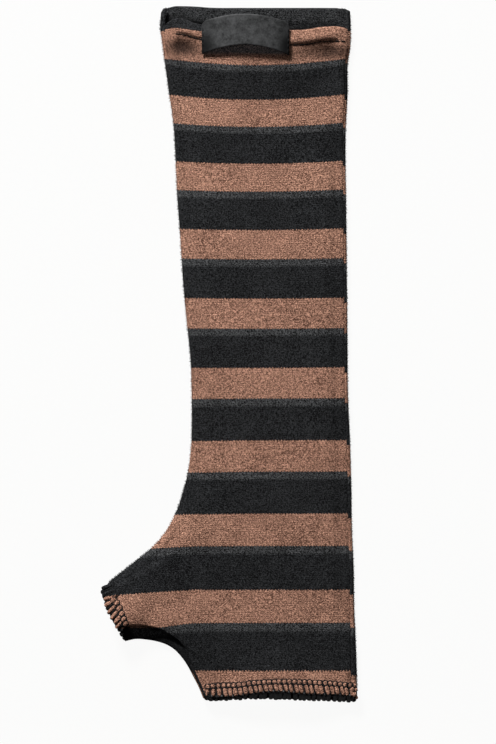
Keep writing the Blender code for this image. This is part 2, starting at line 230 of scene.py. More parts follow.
THUMB_LINE = smooth_line(THUMB_SIDE)
PALM_LINE = smooth_line(PALM_SIDE)
FORK_LINE = smooth_line(FORK)
RIMS = {"arm": smooth_line(ARM_RIM), "finger": smooth_line(FINGER_RIM)}
OUTLINE = np.vstack([THUMB_LINE, FORK_LINE, PALM_LINE])[:, :2]

# Where the end rows of each panel would lie without the curves of its rims: arm, finger
END_ROWS = {FRONT: (190.0, -194.6), BACK: (197.0, -198.2)}

# The mouth of the thumb, as a straight line from its tip to the fork
TIP = np.array(THUMB_SIDE[-1][:2])
MOUTH = np.array(FORK[0][:2]) - TIP
MOUTH_LENGTH = np.linalg.norm(MOUTH)
MOUTH_WAY = MOUTH / MOUTH_LENGTH
MOUTH_OUT = np.array((MOUTH_WAY[1], -MOUTH_WAY[0]))


def rim_along(end, panel, across):
    """How far along a rim lies at a place across it."""
    return np.interp(across, RIMS[end][:, 0], RIMS[end][:, panel])


def arched(height, depth, share, inside):
    """The lift of an arch over an open end: full at its rim and middle, none at its sides."""
    return height * dome(share) * (1 - smoothstep(0.0, depth, inside))


def arch(across, along):
    """How far the front panel is lifted off the back one at a place, by all three open ends."""
    arm = (across - THUMB_SIDE[0][0]) / (PALM_SIDE[0][0] - THUMB_SIDE[0][0])
    finger = (across - FORK[-1][0]) / (PALM_SIDE[-1][0] - FORK[-1][0])
    x, y = across - TIP[0], along - TIP[1]
    thumb = (x * MOUTH_WAY[0] + y * MOUTH_WAY[1]) / MOUTH_LENGTH
    return (
        arched(*ARM_ARCH, arm, ARM_RIM[-1][FRONT] - along)
        + arched(*FINGER_ARCH, finger, along - FINGER_RIM[-1][FRONT])
        + arched(*THUMB_ARCH, thumb, -(x * MOUTH_OUT[0] + y * MOUTH_OUT[1]))
    )


def from_oval(across, along, x, y, half_length, half_width, turn):
    """How far a place lies from the middle of a turned oval, squared: 1 on the oval."""
    c, s = math.cos(math.radians(turn)), math.sin(math.radians(turn))
    far = ((across - x) * c + (along - y) * s) / half_length
    aside = ((across - x) * s - (along - y) * c) / half_width
    return far * far + aside * aside


def crease(across, along):
    """The height of all creases at a place."""
    return sum(height * np.exp(-from_oval(across, along, *oval)) for *oval, height in CREASES)


def wall(panel, across, along):
    """The thickness of a panel: doubled where its arm end is turned in, but not at the folds."""
    side = np.minimum(across - THUMB_SIDE[0][0], PALM_SIDE[0][0] - across)
    below = rim_along("arm", panel, across) - along
    turned = 1 - smoothstep(HEM_DEPTH, HEM_DEPTH + HEM_STEP, below)
    return WALL + (HEM_WALL - WALL) * turned * smoothstep(FOLD, BORDER, side)


def from_outline(across, along):
    """How far places lie from the silhouette's sewn sides."""
    spots = np.column_stack([np.ravel(across), np.ravel(along)])
    gaps = spots[:, None, :] - OUTLINE[None, :, :]
    return np.sqrt((gaps**2).sum(axis=2).min(axis=1)).reshape(np.shape(across))


def front_height(across, along):
    """The height of the front panel's outer side, away from the seams."""
    low = wall(FRONT, across, along) + LAYER_GAP + wall(BACK, across, along) + arch(across, along)
    base, rise, reach, soft = CROWN
    inwards = np.clip(from_outline(across, along) / reach, 0.0, 1.0)
    crowned = 2 * FOLD + base + rise * (1 - (1 - inwards) ** 2)
    layers = (low + crowned + np.sqrt((low - crowned) ** 2 + soft**2)) / 2
    below = rim_along("arm", FRONT, across) - along
    hem = sum(height * bell(below, place, width) for place, width, height in HEM_WAVES)
    return layers + crease(across, along) + hem


def curl_length(wrap):
    """How far the back panel runs from the ground round the fold, for its wrap onto the front."""
    if wrap < FOLD:
        return FOLD * (math.pi / 2 + math.acos(1 - wrap / FOLD))
    return FOLD * math.pi + wrap - FOLD


def round_fold(run, sink):
    """Distance from the silhouette and height, a run of cloth round the fold from the ground."""
    turn = np.minimum(run / FOLD, math.pi) - math.pi / 2
    past = np.maximum(run - FOLD * math.pi, 0.0)
    out = FOLD - (FOLD - sink) * np.cos(turn) + past
    height = FOLD + (FOLD - sink) * np.sin(turn)
    return np.where(past > 0, FOLD + past, out), height


def furrow(wrap, distance, widens):
    """How far a seam pulls the cloth in, at a distance from it."""
    past = max(wrap - FOLD, 0.0)
    width = FURROW_WIDTH + FURROW_WIDER * past * widens
    return (FURROW + FURROW_DEEPER * past) * bell(distance, 0.0, width)


def to_rims(panel, across, along):
    """Moves places near the arm or finger end so that the end rows follow the rims."""
    base_arm, base_finger = END_ROWS[panel]
    arm = rim_along("arm", panel, across) - base_arm
    finger = rim_along("finger", panel, across) - base_finger
    return (
        along
        + arm * (1 - smoothstep(0.0, RIM_FADE, base_arm - along))
        + finger * (1 - smoothstep(0.0, RIM_FADE, along - base_finger))
    )


def placed(panel, section, out, height):
    """Points at distances in from the silhouette of a section, lifted with the arch above the fold."""
    edge, way, _ = section
    across = edge[0] + way[0] * out
    along = to_rims(panel, across, edge[1] + way[1] * out)
    lift = smoothstep(FOLD, 2 * FOLD - FURROW, height)
    return np.column_stack([across, along, height + lift * arch(across, along)])


def back_border(section):
    """The back panel beside a seam, from its edge on the front down round the fold."""
    wrap = section[2]
    end = curl_length(wrap)
    runs = end * (1 - np.linspace(0.0, 1.0, CURL_STEPS + 1))
    pressed = smoothstep(0.0, PRESSED_WRAP, wrap - FOLD)
    out, height = round_fold(runs, furrow(wrap, end - runs, 1) * (1 - pressed))
    curl = placed(BACK, section, out, height * (1 - pressed * furrow(wrap, 0.0, 1) / (2 * FOLD)))
    out = FOLD + (BORDER - FOLD) * np.linspace(0.0, 1.0, BACK_STEPS + 1)[1:]
    return np.vstack([curl, placed(BACK, section, out, np.zeros(BACK_STEPS))])


def front_border(section):
    """The front panel beside a seam, from its edge over the ridge of the seam allowances."""
    wrap = section[2]
    start = curl_length(wrap) + SEAM_GAP
    runs = BORDER * np.linspace(0.0, 1.0, FRONT_STEPS + 1) ** BORDER_CROWDED
    pressed = smoothstep(0.0, PRESSED_WRAP, wrap - FOLD)
    sink = furrow(wrap, runs, 0) * (1 - PRESSED_FRONT * pressed)
    points = placed(FRONT, section, *round_fold(start + runs, sink))
    rest = front_height(points[:, 0], points[:, 1])
    rolled = BORDER + (PRESSED_ROLL - BORDER) * pressed
    points[:, 2] += (rest - points[:, 2]) * smoothstep(RIDGE_END * (1 - pressed), rolled, runs)
    return points


def border(panel, section):
    """A panel's outer points beside a seam, from the seam inwards."""
    return front_border(section) if panel == FRONT else back_border(section)


def inner_end(panel, section):
    """The place where a panel's border beside a seam ends, before the rims shift it."""
    edge, way, wrap = section
    if panel == BACK:
        return edge + way * BORDER
    return edge + way * round_fold(curl_length(wrap) + SEAM_GAP + BORDER, 0.0)[0]


def sections(line, distances, first_way=None, last_way=None):
    """Where sections cross a silhouette: its point, the way in from there, and the wrap.

    Towards an open end the way in turns to lie along that end's rim.
    """
    run = lengths(line)
    found = []
    for distance in distances:
        spot = np.array([np.interp(distance, run, line[:, k]) for k in range(3)])
        ahead, behind = (
            np.array([np.interp(distance + reach, run, line[:, k]) for k in range(2)])
            for reach in (TANGENT_REACH, -TANGENT_REACH)
        )
        tangent = (ahead - behind) / np.linalg.norm(ahead - behind)
        way = np.array((-tangent[1], tangent[0]))
        ends = ((first_way, distance - distances[0]), (last_way, distances[-1] - distance))
        for end_way, away in ends:
            if end_way is not None:
                turned = 1 - smoothstep(0.0, WAY_TURN, away)
                way = way + (np.array(end_way) - way) * turned
                way = way / np.linalg.norm(way)
        found.append((spot[:2], way, spot[2]))
    return found


def palm_section(along):
    """The section of the palm side at a place along it."""
    across, wrap = (between(PALM_LINE[:, 1], PALM_LINE[:, k], along) for k in (0, 2))
    return np.array((across, along)), np.array((-1.0, 0.0)), float(wrap)


def straight(start, end, count):
    """Points from start to end, both included."""
    shares = np.linspace(0.0, 1.0, count + 1)[:, None]
    return start + (end - start) * shares


def on_panel(panel, spots):
    """Points of a panel's outer side away from the seams."""
    across = spots[:, 0]
    along = to_rims(panel, across, spots[:, 1])
    height = front_height(across, along) if panel == FRONT else np.zeros(len(spots))
    return np.column_stack([across, along, height])


def bulged(line, share):
    """A row of the thumb, moved out towards the curve of its rim."""
    place = (line[:, :2] - TIP) @ MOUTH_WAY / MOUTH_LENGTH
    out = THUMB_RIM_BULGE * np.sqrt(dome(place))
    moved = line.copy()
    moved[:, :2] += MOUTH_OUT * (out * share**THUMB_BULGE_FADE)[:, None]
    return moved


def panel_grids(panel):
    """The four grids of a panel's outer side: arm, hand, fingers and thumb."""
    base_arm, base_finger = END_ROWS[panel]
    run = lengths(THUMB_LINE)
    start = between(THUMB_LINE[:, 1], run, base_arm)
    root = between(THUMB_LINE[:, 1], run, THUMB_ROOT)
    hem = np.concatenate(
        [np.arange(0.0, HEM_FINE, HEM_FINE_STEP), np.arange(HEM_FINE, HEM_ROWS_END, ROW_STEP)]
    )
    arm_rows = round((root - start - HEM_ROWS_END) / ROW_STEP)
    arm = np.linspace(start + HEM_ROWS_END, root, arm_rows + 1)
    thumb = np.linspace(root, run[-1], THUMB_ROWS + 1)[1:]
    before_root = len(hem) + len(arm)
    side = sections(THUMB_LINE, [*(start + hem), *arm, *thumb], (1.0, 0.0), MOUTH_WAY)
    arm_side, thumb_side = side[:before_root], side[before_root - 1 :]

    fork_run = lengths(FORK_LINE)
    lowest = max(k for k, p in enumerate(FORK_LINE) if p[1] >= FORK[0][1])
    fork_end = between(FORK_LINE[lowest:, 1], fork_run[lowest:], base_finger)
    fork_root = fork_run[-1] * FORK_ROOT
    inner = np.linspace(0.0, fork_root, THUMB_ROWS + 1)
    outer = np.linspace(fork_root, fork_end, FINGER_ROWS + 1)[1:]
    fork = sections(FORK_LINE, [*inner, *outer], -MOUTH_WAY, (1.0, 0.0))
    fork_thumb, fork_finger = fork[: THUMB_ROWS + 1][::-1], fork[THUMB_ROWS:]

    def row(left_points, left_spot):
        palm = palm_section(left_spot[1])
        middle = straight(left_spot, inner_end(panel, palm), COLUMNS)[1:-1]
        return np.vstack([left_points, on_panel(panel, middle), border(panel, palm)[::-1]])

    def full_row(section):
        return row(border(panel, section), inner_end(panel, section))

    root_line = straight(inner_end(panel, thumb_side[0]), inner_end(panel, fork_thumb[0]), ROOT_ROWS)
    thumb_grid = []
    for step, (top, low) in enumerate(zip(thumb_side, fork_thumb)):
        middle = straight(inner_end(panel, top), inner_end(panel, low), ROOT_ROWS)[1:-1]
        line = np.vstack([border(panel, top), on_panel(panel, middle), border(panel, low)[::-1]])
        thumb_grid.append(bulged(line, step / THUMB_ROWS))
    return (
        [full_row(section) for section in arm_side],
        [row(on_panel(panel, spot[None]), spot) for spot in root_line],
        [full_row(section) for section in fork_finger],
        thumb_grid,
    )


def welded(grids, flip):
    """The points and four-sided faces of grids, with shared points joined."""
    points, index, faces = [], {}, []
    for grid in grids:
        numbers = []
        for line in grid:
            row = []
            for point in line:
                key = tuple(np.round(point / WELD).astype(int))
                if key not in index:
                    index[key] = len(points)
                    points.append(point)
                row.append(index[key])
            numbers.append(row)
        for near, far in zip(numbers, numbers[1:]):
            for a, b, c, d in zip(near, near[1:], far[1:], far):
                faces.append((d, c, b, a) if flip else (a, b, c, d))
    return np.array(points), [f for f in faces if len(set(f)) == 4]


def vertex_normals(points, faces):
    """The mean way out at each point."""
    quads = np.array(faces)
    across = points[quads[:, 2]] - points[quads[:, 0]]
    other = points[quads[:, 3]] - points[quads[:, 1]]
    normals = np.zeros_like(points)
    np.add.at(normals, quads.ravel(), np.repeat(np.cross(across, other), 4, axis=0))
    return normals / np.linalg.norm(normals, axis=1)[:, None]


def edge_loop(faces):
    """The points round the open edge of a sheet, in the order of its faces."""
    ways = {(a, b) for f in faces for a, b in zip(f, (*f[1:], f[0]))}
    after = {a: b for a, b in ways if (b, a) not in ways}
    loop = [next(iter(after))]
    while after[loop[-1]] != loop[0]:
        loop.append(after[loop[-1]])
    assert len(loop) == len(after)
    return loop


def shell(points, faces, thickness, roundness):
    """A closed wall of cloth from its outer side, with rounded edges.

    Returns points, faces, and for each point 0 on its outer side to 1 on its inner side.
    """
    normals = vertex_normals(points, faces)
    inner = points - normals * thickness[:, None]
    count = len(points)
    loop = np.array(edge_loop(faces))
    tangent = np.roll(points[loop], -1, axis=0) - np.roll(points[loop], 1, axis=0)
    out = np.cross(tangent, normals[loop])
    out /= np.linalg.norm(out, axis=1)[:, None]
    middle = (points[loop] + inner[loop]) / 2
    half = thickness[loop][:, None] / 2
    all_points, rings = [points, inner], [loop]
    side = [np.zeros(count), np.ones(count)]
    for step in range(1, RIM_STEPS):
        turn = math.pi * step / RIM_STEPS
        rings.append(2 * count + (step - 1) * len(loop) + np.arange(len(loop)))
        reach = out * roundness[loop][:, None] * math.sin(turn)
        all_points.append(middle + half * (normals[loop] * math.cos(turn) + reach))
        side.append(np.full(len(loop), step / RIM_STEPS))
    rings.append(loop + count)
    all_faces = [*faces, *(tuple(k + count for k in f[::-1]) for f in faces)]
    for near, far in zip(rings, rings[1:]):
        for a, b, c, d in zip(near, np.roll(near, -1), np.roll(far, -1), far):
            all_faces.append((b, a, d, c))
    return np.vstack(all_points), all_faces, np.concatenate(side)


def made(name, points, faces, finish, attributes=()):
    """An object in the scene from points in millimetres."""
    mesh = bpy.data.meshes.new(name)
    corners = [tuple(int(k) for k in face) for face in faces]
    mesh.from_pydata((np.asarray(points) * MM).tolist(), [], corners)
    mesh.shade_smooth()
    for label, kind, values in attributes:
        layer = mesh.attributes.new(label, kind, "POINT")
        layer.data.foreach_set("vector" if kind == "FLOAT_VECTOR" else "value", np.ravel(values))
    mesh.materials.append(finish)
    piece = bpy.data.objects.new(name, mesh)
    bpy.context.scene.collection.objects.link(piece)
    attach(piece, "root")
    return piece


# Stripes of the knit, from the arm end, at the middle of the front: where each dark band starts
# and ends along the piece. The first is the turned-in end.
DARK_BANDS = (
    (209.0, 186.6), (166.7, 147.1), (131.6, 110.4), (94.4, 72.4), (55.6, 33.1), (15.8, -6.6),
    (-24.2, -48.2), (-66.1, -90.2), (-108.7, -133.9), (-152.8, -180.1), (-222.0, -240.0),
)
DARK_SHARE = 0.55
BAND_PLACES = np.array(DARK_BANDS).ravel()
BAND_PHASES = np.array([(n - 1, n - 1 + DARK_SHARE) for n in range(len(DARK_BANDS))]).ravel()

# How the stripes bend. They hang towards the fingers at the arm end: depth, middle and half width
# across, top, fade and end along. They lean at the wrist: depth, start and end across, middle and
# reach along. They fall off along the thumb: depth, start and width across, power, and where along
# it starts and is full. They drop beside the fork: depth, middle and reach across, start and end
# along. The back's lie further towards the fingers: shift, start and end across, start and end along
SAG = (3.7, 15.0, 48.0, 168.0, 66.0)
SAG_END = 12.0
LEAN = (0.6, 17.0, -25.0, -60.0, 45.0)
THUMB_FALL = (3.3, -20.0, 49.0, 1.15)
THUMB_FALL_START = (-70.0, -105.0)
THUMB_DROP = (1.5, -43.0, 15.0, 140.0, 151.0)
BACK_SHIFT = (2.9, -10.0, 66.0, 168.0, 184.0)

# One stitch of the knit: across and along
WALE = 1.7
COURSE = 1.25

# How deep the dark band of the turned end reaches below the rim of the front: across, depth.
# Then how near the rim that holds, how the inner side sets in, and where the turned end stops
TURNED_BAND = (
    (-40.0, 1.2), (-35.6, 3.6), (-31.0, 4.5), (-26.0, 4.5), (-20.0, 3.5), (-12.0, 2.5), (9.0, 1.2),
    (30.0, -1.5),
)
TURNED_NEAR = (6.0, 16.0)
TURNED_SIDE = (0.4, 0.6)
TURNED_END = (22.0, 24.0)


def bent(panel, across, along):
    """Where a place lies along the straight stripes of the middle."""
    depth, middle, half, top, fade = SAG
    hang = depth * ((across - middle) / half) ** 2 * np.exp(-np.maximum(top - along, 0.0) / fade)
    hang = hang * (1 - smoothstep(top, top + SAG_END, along))
    drop, start, end, centre, reach = LEAN
    lean = drop * smoothstep(-start, -end, -across) * bell(along, centre, reach)
    fall, from_across, width, power = THUMB_FALL
    low = smoothstep(-THUMB_FALL_START[0], -THUMB_FALL_START[1], -along)
    thumb = fall * (np.maximum(from_across - across, 0.0) / width) ** power * low
    drop, centre, reach, start, end = THUMB_DROP
    thumb = thumb + drop * bell(across, centre, reach) * smoothstep(start, end, -along)
    place = along - hang + lean + thumb
    if panel == BACK:
        shift, *sides, top, end = BACK_SHIFT
        place = place + shift * smoothstep(*sides, across) * (1 - smoothstep(top, end, along))
    return place


def cloth_values(panel, points, side):
    """The stitch that lies at each point, with 1 inside the turned end, and its stripe."""
    across, along = points[:, 0], points[:, 1]
    place = bent(panel, across, along)
    below = rim_along("arm", panel, across) - along
    if panel == FRONT:
        near = 1 - smoothstep(*TURNED_NEAR, below)
        place = place + near * (DARK_BANDS[0][1] - (place + below - read(TURNED_BAND, across)))
    stripe = between(BAND_PLACES, BAND_PHASES, place)
    inside = smoothstep(*TURNED_SIDE, side) * (1 - smoothstep(*TURNED_END, below))
    return np.column_stack([across / WALE, place / COURSE, inside]), stripe


def mouth_place(points):
    """Where points lie along the mouth of the thumb, as a share, and out from it."""
    away = np.asarray(points, dtype=float)[:, :2] - TIP
    return away @ MOUTH_WAY / MOUTH_LENGTH, away @ MOUTH_OUT


# Label strip: where its two sewn ends lie across and along, its bow up and towards the arm, how
# much further its upper edge bows, and the rounded corners there
LABEL_ENDS = (-15.8, 34.2)
LABEL_FOOT = (173.2, 172.5)
LABEL_HEIGHT = 18.0
LABEL_WALL = 0.9
LABEL_GAP = 0.4
LABEL_RISE = 4.3
LABEL_LEAN = 5.7
LABEL_FAN = -1.1
LABEL_BOW = 0.85
LABEL_CORNER = 2.6
LABEL_ROUND = 0.7
LABEL_COLUMNS = 100
LABEL_ROWS = 24

# The label has painted shade towards its sewn ends, most at their lower corners: plain within the first of
# these from its middle and dark beyond the second, darkest below the third along and not above the last
LABEL_PAINTED_DARK = (14.5, 23.4, 178.5, 188.0)

# Painted shade where hardly any light comes. Along the fork: how far the back comes round past the fold,
# how far the edge of the front is, where it ends along, at what height and depth in the cloth it sets in,
# and how dark the painted shade is for how far the back comes round
SUNK_WRAP = (-1.6, -0.4)
SUNK_REACH = (0.1, 0.7)
SUNK_END = (-184.5, -180.5)
SUNK_HEIGHT = (0.6, 1.6)
SUNK_SIDE = (0.1, 0.3)
SUNK_SHADE = ((2.4, 0.85), (6.0, 0.45))

# Painted shade inside the arm's mouth, over the front's rim: across, strength. Then its depth and start, at
# what depth in the cloth it sets in, and how far down inside it starts and is full
MOUTH_SHADE = (
    (-38.0, 0.0), (-35.0, 0.9), (-31.0, 0.5), (-24.0, 0.75), (-17.0, 1.0), (34.0, 1.0), (44.0, 0.8),
    (56.0, 0.3), (64.0, 0.0),
)
MOUTH_SHADE_DEPTH = 2.6
MOUTH_SHADE_START = 1.2
MOUTH_SHADE_SIDE = (0.4, 0.9)
MOUTH_SHADE_INSIDE = (-30.0, -20.0)

# Painted shade in the dimples below the hem: across, along, half length, half width, turn in degrees,
# strength
DIMPLE_SHADES = (
    (-26.6, 177.2, 10.0, 4.4, -10.0, 0.5),
    (-27.0, 175.9, 17.0, 8.5, -6.0, 0.45),
    (60.0, 174.3, 8.0, 3.8, 6.0, 0.36),
    (52.5, 174.6, 21.0, 5.6, 3.0, 0.56),
)
DIMPLE_SHADE_POWER = 1.5

# Painted shadow below the label: strength, and where it starts and is full, up from the label's feet. Then
# the share of the label's length at each end over which it sets in, and how far up it ends
LABEL_SHADE = (0.95, -0.6, 1.2)
LABEL_SHADE_ENDS = 0.06
LABEL_SHADE_TOP = (12.0, 16.0)


def painted_shade(panel, points, side):
    """How much painted shade darkens the cloth: 1 where hardly any light comes, and 0 in the open."""
    across, along, height = points.T
    gaps = points[:, None, :2] - FORK_LINE[None, :, :2]
    apart = np.sqrt((gaps**2).sum(axis=2))
    wrap = FORK_LINE[apart.argmin(axis=1), 2]
    under = 1 - smoothstep(*SUNK_REACH, apart.min(axis=1) - wrap)
    under = under * smoothstep(*SUNK_END, along)
    fork = read(SUNK_SHADE, wrap) * smoothstep(*SUNK_WRAP, wrap - FOLD)
    fork = fork * under * smoothstep(*SUNK_HEIGHT, height)
    if panel == BACK:
        above = along - rim_along("arm", FRONT, across)
        past = np.maximum(above, MOUTH_SHADE_START)
        mouth = read(MOUTH_SHADE, across) * bell(past, MOUTH_SHADE_START, MOUTH_SHADE_DEPTH)
        mouth = mouth * smoothstep(*MOUTH_SHADE_SIDE, side) * smoothstep(*MOUTH_SHADE_INSIDE, above)
        return np.maximum(fork, mouth)
    fork = fork * smoothstep(*SUNK_SIDE, side)
    dimples = sum(
        strength * np.exp(-(from_oval(across, along, *oval) ** DIMPLE_SHADE_POWER)) for *oval, strength in DIMPLE_SHADES
    )
    return np.clip(np.maximum(dimples, fork), 0.0, 1.0)


def below_label(points):
    """How dark the shade below the label is, and 0 elsewhere."""
    across, along = points[:, 0], points[:, 1]
    share = np.clip((across - LABEL_ENDS[0]) / (LABEL_ENDS[1] - LABEL_ENDS[0]), 0.0, 1.0)
    above = along - LABEL_FOOT[0] - (LABEL_FOOT[1] - LABEL_FOOT[0]) * share
    strength, start, end = LABEL_SHADE
    inside = smoothstep(0.0, LABEL_SHADE_ENDS, share) * smoothstep(0.0, LABEL_SHADE_ENDS, 1 - share)
    below = 1 - smoothstep(*LABEL_SHADE_TOP, above - LABEL_LEAN * label_bow(share))
    return strength * inside * smoothstep(start, end, above) * below


# Where threads hide the cloth: how far in from a rim on its inner side, how the cover fades, where
# the inner side starts, how far along the thumb's mouth it can reach, and a distance out of reach
THREADED = 5.5
COVERED_FADE = (-1.0, -0.2)
COVERED_SIDE = 0.1
COVERED_THUMB = 1.3
FAR_AWAY = 99.0


def covered(panel, points, side):
    """1 where the threads of the stitched rims hide the cloth, and 0 elsewhere."""
    across, along = points[:, 0], points[:, 1]
    finger_outer = along - read(FINGER_NEEDLE, across)
    finger_inner = along - rim_along("finger", panel, across) - THREADED
    share, out = mouth_place(points)
    bulge = THUMB_RIM_BULGE * np.sqrt(dome(share))
    needle_share, needle_out = mouth_place(THUMB_NEEDLE)
    thumb_outer = np.interp(share, needle_share, needle_out) - out
    thumb_inner = bulge - out - THREADED
    near = (share < COVERED_THUMB) & (across < 0)
    thumb_outer, thumb_inner = (np.where(near, d, FAR_AWAY) for d in (thumb_outer, thumb_inner))
    finger_outer = np.where(across < FINGER_NEEDLE[0][0], FAR_AWAY, finger_outer)
    outer = np.minimum(finger_outer, thumb_outer)
    inner = np.minimum(finger_inner, thumb_inner)
    return 1 - smoothstep(*COVERED_FADE, np.where(side > COVERED_SIDE, inner, outer))


def unevenness(points):
    """Soft waves and lumps of the cloth at each point."""
    total = np.zeros(len(points))
    for number, (height, size) in enumerate(UNEVEN):
        shift = Vector((UNEVEN_SHIFT[0] * number, *UNEVEN_SHIFT[1:]))
        total += height * np.array([noise.noise(Vector(p) / size + shift) for p in points])
    return total


def stitched_lift(points):
    """How far both panels rise over the lumps of the stitches at the finger and thumb rims."""
    finger = points[:, 1] - rim_along("finger", BACK, points[:, 0])
    thumb = -((points[:, :2] - TIP) @ MOUTH_OUT)
    nearest = np.minimum(np.maximum(finger, 0.0), np.maximum(thumb, 0.0))
    return STITCHED_LIFT * (1 - smoothstep(0.0, STITCHED_REACH, nearest))


def cloth(name, panel, flip, finish):
    """One knitted panel as a closed shell, with the stitch and stripe of each point."""
    points, faces = welded(panel_grids(panel), flip)
    thickness = wall(panel, points[:, 0], points[:, 1])
    lift = smoothstep(*UNEVEN_FROM, points[:, 2])
    points[:, 2] += unevenness(points) * lift + stitched_lift(points)
    surface = BVHTree.FromPolygons(points.tolist(), faces)
    roundness = SEAM_ROUND + (HEM_ROUND - SEAM_ROUND) * smoothstep(WALL, HEM_WALL, thickness)
    points, faces, side = shell(points, faces, thickness, roundness)
    stitches, stripe = cloth_values(panel, points, side)
    attributes = (
        ("stitch", "FLOAT_VECTOR", stitches),
        ("stripe", "FLOAT", stripe),
        ("covered", "FLOAT", covered(panel, points, side)),
        ("painted_shade", "FLOAT", painted_shade(panel, points, side)),
        ("shaded", "FLOAT", below_label(points) if panel == FRONT else np.zeros(len(points))),
    )
    return made(name, points, faces, finish, attributes), surface


# Colours of the yarns, as darker and lighter fibres. Columns: red, green, blue
BROWN = ((0.080, 0.037, 0.025), (0.700, 0.378, 0.262))
BLACK = ((0.0006, 0.0006, 0.0007), (0.042, 0.0435, 0.046))
GREY = ((0.001, 0.001, 0.0011), (0.112, 0.114, 0.117))
THREAD_BLACK = ((0.001, 0.001, 0.0012), (0.014, 0.0145, 0.0155))
# The loops' black is lighter than the thread's: painted light where the front's rim shades them
LOOP_BLACK = ((0.012, 0.012, 0.0125), (0.2, 0.203, 0.207))

# How grey the inside of the turned end is, and the share of a stripe that its grey edge takes
INSIDE_GREY = 0.35
GREY_SHARE = 0.097

# Painted shade where hardly any light comes: colour and share. Painted shadow below the label: darker and
# lighter
PAINTED_SHADE_BLACK = (0.0036, 0.0037, 0.0039)
PAINTED_SHADE_SHARE = 0.94
SHADED_GREY = ((0.035, 0.035, 0.037), (0.3, 0.292, 0.304))

# Noises: scale, detail, roughness
FUZZ_NOISE = (1200.0, 3.0, 0.78)
FINE_NOISE = (2300.0, 2.0, 0.7)
PATCH_NOISE = (70.0, 2.0, 0.6)
CLOUD_NOISE = (240.0, 3.0, 0.6)
GRAIN_NOISE = (900.0, 3.0, 0.7)
TWIST_NOISE = (1800.0, 3.0, 0.7)
TOOTH_NOISE = (400.0, 2.0, 0.6)

# Edges of the stripes, in shares of a stripe: softness, steps of the stitches, fraying, and the
# softness of the grey's own edge
BAND_SOFT = 0.003
BAND_TEETH = 0.03
BAND_FRAYED = 0.024
GREY_SOFT = 0.02

# From dark to light fibres: contrast and middle, what patches add, the middle of the loops and what
# they add, and how far light and dark fibres are hidden in the shade below the label.
# Bumps: weights of two patterns, strength, distance
FIBRES = (7.1, 0.42)
PATCHES = 0.45
LOOPS = (0.45, 0.16)
SHADED_FIBRES = (-0.3, 1.1)
KNIT_BUMP = (0.45, 0.7, 0.7, 0.0005)
KNIT_SHADER = {"Roughness": 1.0, "Specular IOR Level": 0.06, "Sheen Weight": 0.012, "Sheen Roughness": 0.6}

# The label: dark and light, weight of the clouds, how dark the painted shade at its ends is low down and
# elsewhere, ribs, roughness by the clouds, and bump
LABEL_TONES = ((0.004, 0.0041, 0.0044), (0.082, 0.0835, 0.085))
LABEL_CLOUDS = 1.3
LABEL_ENDS_PAINTED_DARK = (0.6, 0.4)
LABEL_RIBS = {"Scale": 600.0, "Distortion": 0.6, "Detail": 1.0}
LABEL_ROUGH = (0.22, 0.42)
LABEL_BUMP = (0.3, 0.8, 0.45, 0.0002)
LABEL_SHADER = {"Specular IOR Level": 0.22}

THREAD_SHADER = {"Roughness": 0.8, "Specular IOR Level": 0.15}
THREAD_BUMP = (0.5, 0.0002)

FLOOR_TONES = ((0.025, 0.025, 0.025), (0.035, 0.035, 0.035))
FLOOR_SHADER = {
    "Emission Color": (1.0, 1.0, 0.995, 1.0),
    "Emission Strength": 0.94,
    "Roughness": 0.9,
    "Specular IOR Level": 0.0,
}


class Graph:
    """Adds and joins the nodes of a material."""

    def __init__(self, name, shader):
        self.material = bpy.data.materials.new(name)
        self.material.use_nodes = True
        self.tree = self.material.node_tree
        self.shader = self.tree.nodes["Principled BSDF"].inputs
        for key, value in shader.items():
            self.shader[key].default_value = value
        self.place = self.node("ShaderNodeTexCoord").outputs["Object"]

    def node(self, kind, inputs=(), **settings):
        added = self.tree.nodes.new(kind)
        for key, value in settings.items():
            setattr(added, key, value)
        for key, value in dict(inputs).items():
            self.put(added.inputs[key], value)
        return added

    def put(self, socket, value):
        if isinstance(value, bpy.types.NodeSocket):
            self.tree.links.new(value, socket)
        else:
            socket.default_value = value

    def math(self, operation, *values, clamp=False):
        inputs = dict(enumerate(values))
        return self.node("ShaderNodeMath", inputs, operation=operation, use_clamp=clamp).outputs[0]

    def from_middle(self, value, middle, weight, base, clamp=False):
        """The base with a value's distance from its middle added, weighed."""
        return self.math("MULTIPLY_ADD", self.math("SUBTRACT", value, middle), weight, base, clamp=clamp)

    def step(self, start, end, value):
        inputs = {"Value": value, "From Min": start, "From Max": end}
        return self.node("ShaderNodeMapRange", inputs, interpolation_type="SMOOTHSTEP").outputs[0]

    def mix(self, share, low, high):
        """From a low to a high colour, each a socket or three numbers."""
        mixer = self.node("ShaderNodeMix", data_type="RGBA")
        self.put(mixer.inputs[0], share)
        for number, tone in ((6, low), (7, high)):
            self.put(mixer.inputs[number], (*tone, 1.0) if isinstance(tone, tuple) else tone)
        return mixer.outputs[2]

    def noise(self, scale, detail, roughness):
        inputs = {"Vector": self.place, "Scale": scale, "Detail": detail, "Roughness": roughness}
        return self.node("ShaderNodeTexNoise", inputs).outputs["Fac"]

    def attribute(self, name):
        return self.node("ShaderNodeAttribute", attribute_name=name).outputs["Fac"]

    def split(self, vector):
        return self.node("ShaderNodeSeparateXYZ", {0: vector}).outputs

    def weighed(self, a, b, weight_a, weight_b):
        return self.math("ADD", self.math("MULTIPLY", a, weight_a), self.math("MULTIPLY", b, weight_b))

    def finished(self, base, relief, strength, distance):
        """The material, with its base colour and bump."""
        bump = self.node("ShaderNodeBump", {"Height": relief, "Strength": strength, "Distance": distance})
        self.put(self.shader["Normal"], bump.outputs[0])
        self.put(self.shader["Base Color"], base)
        return self.material


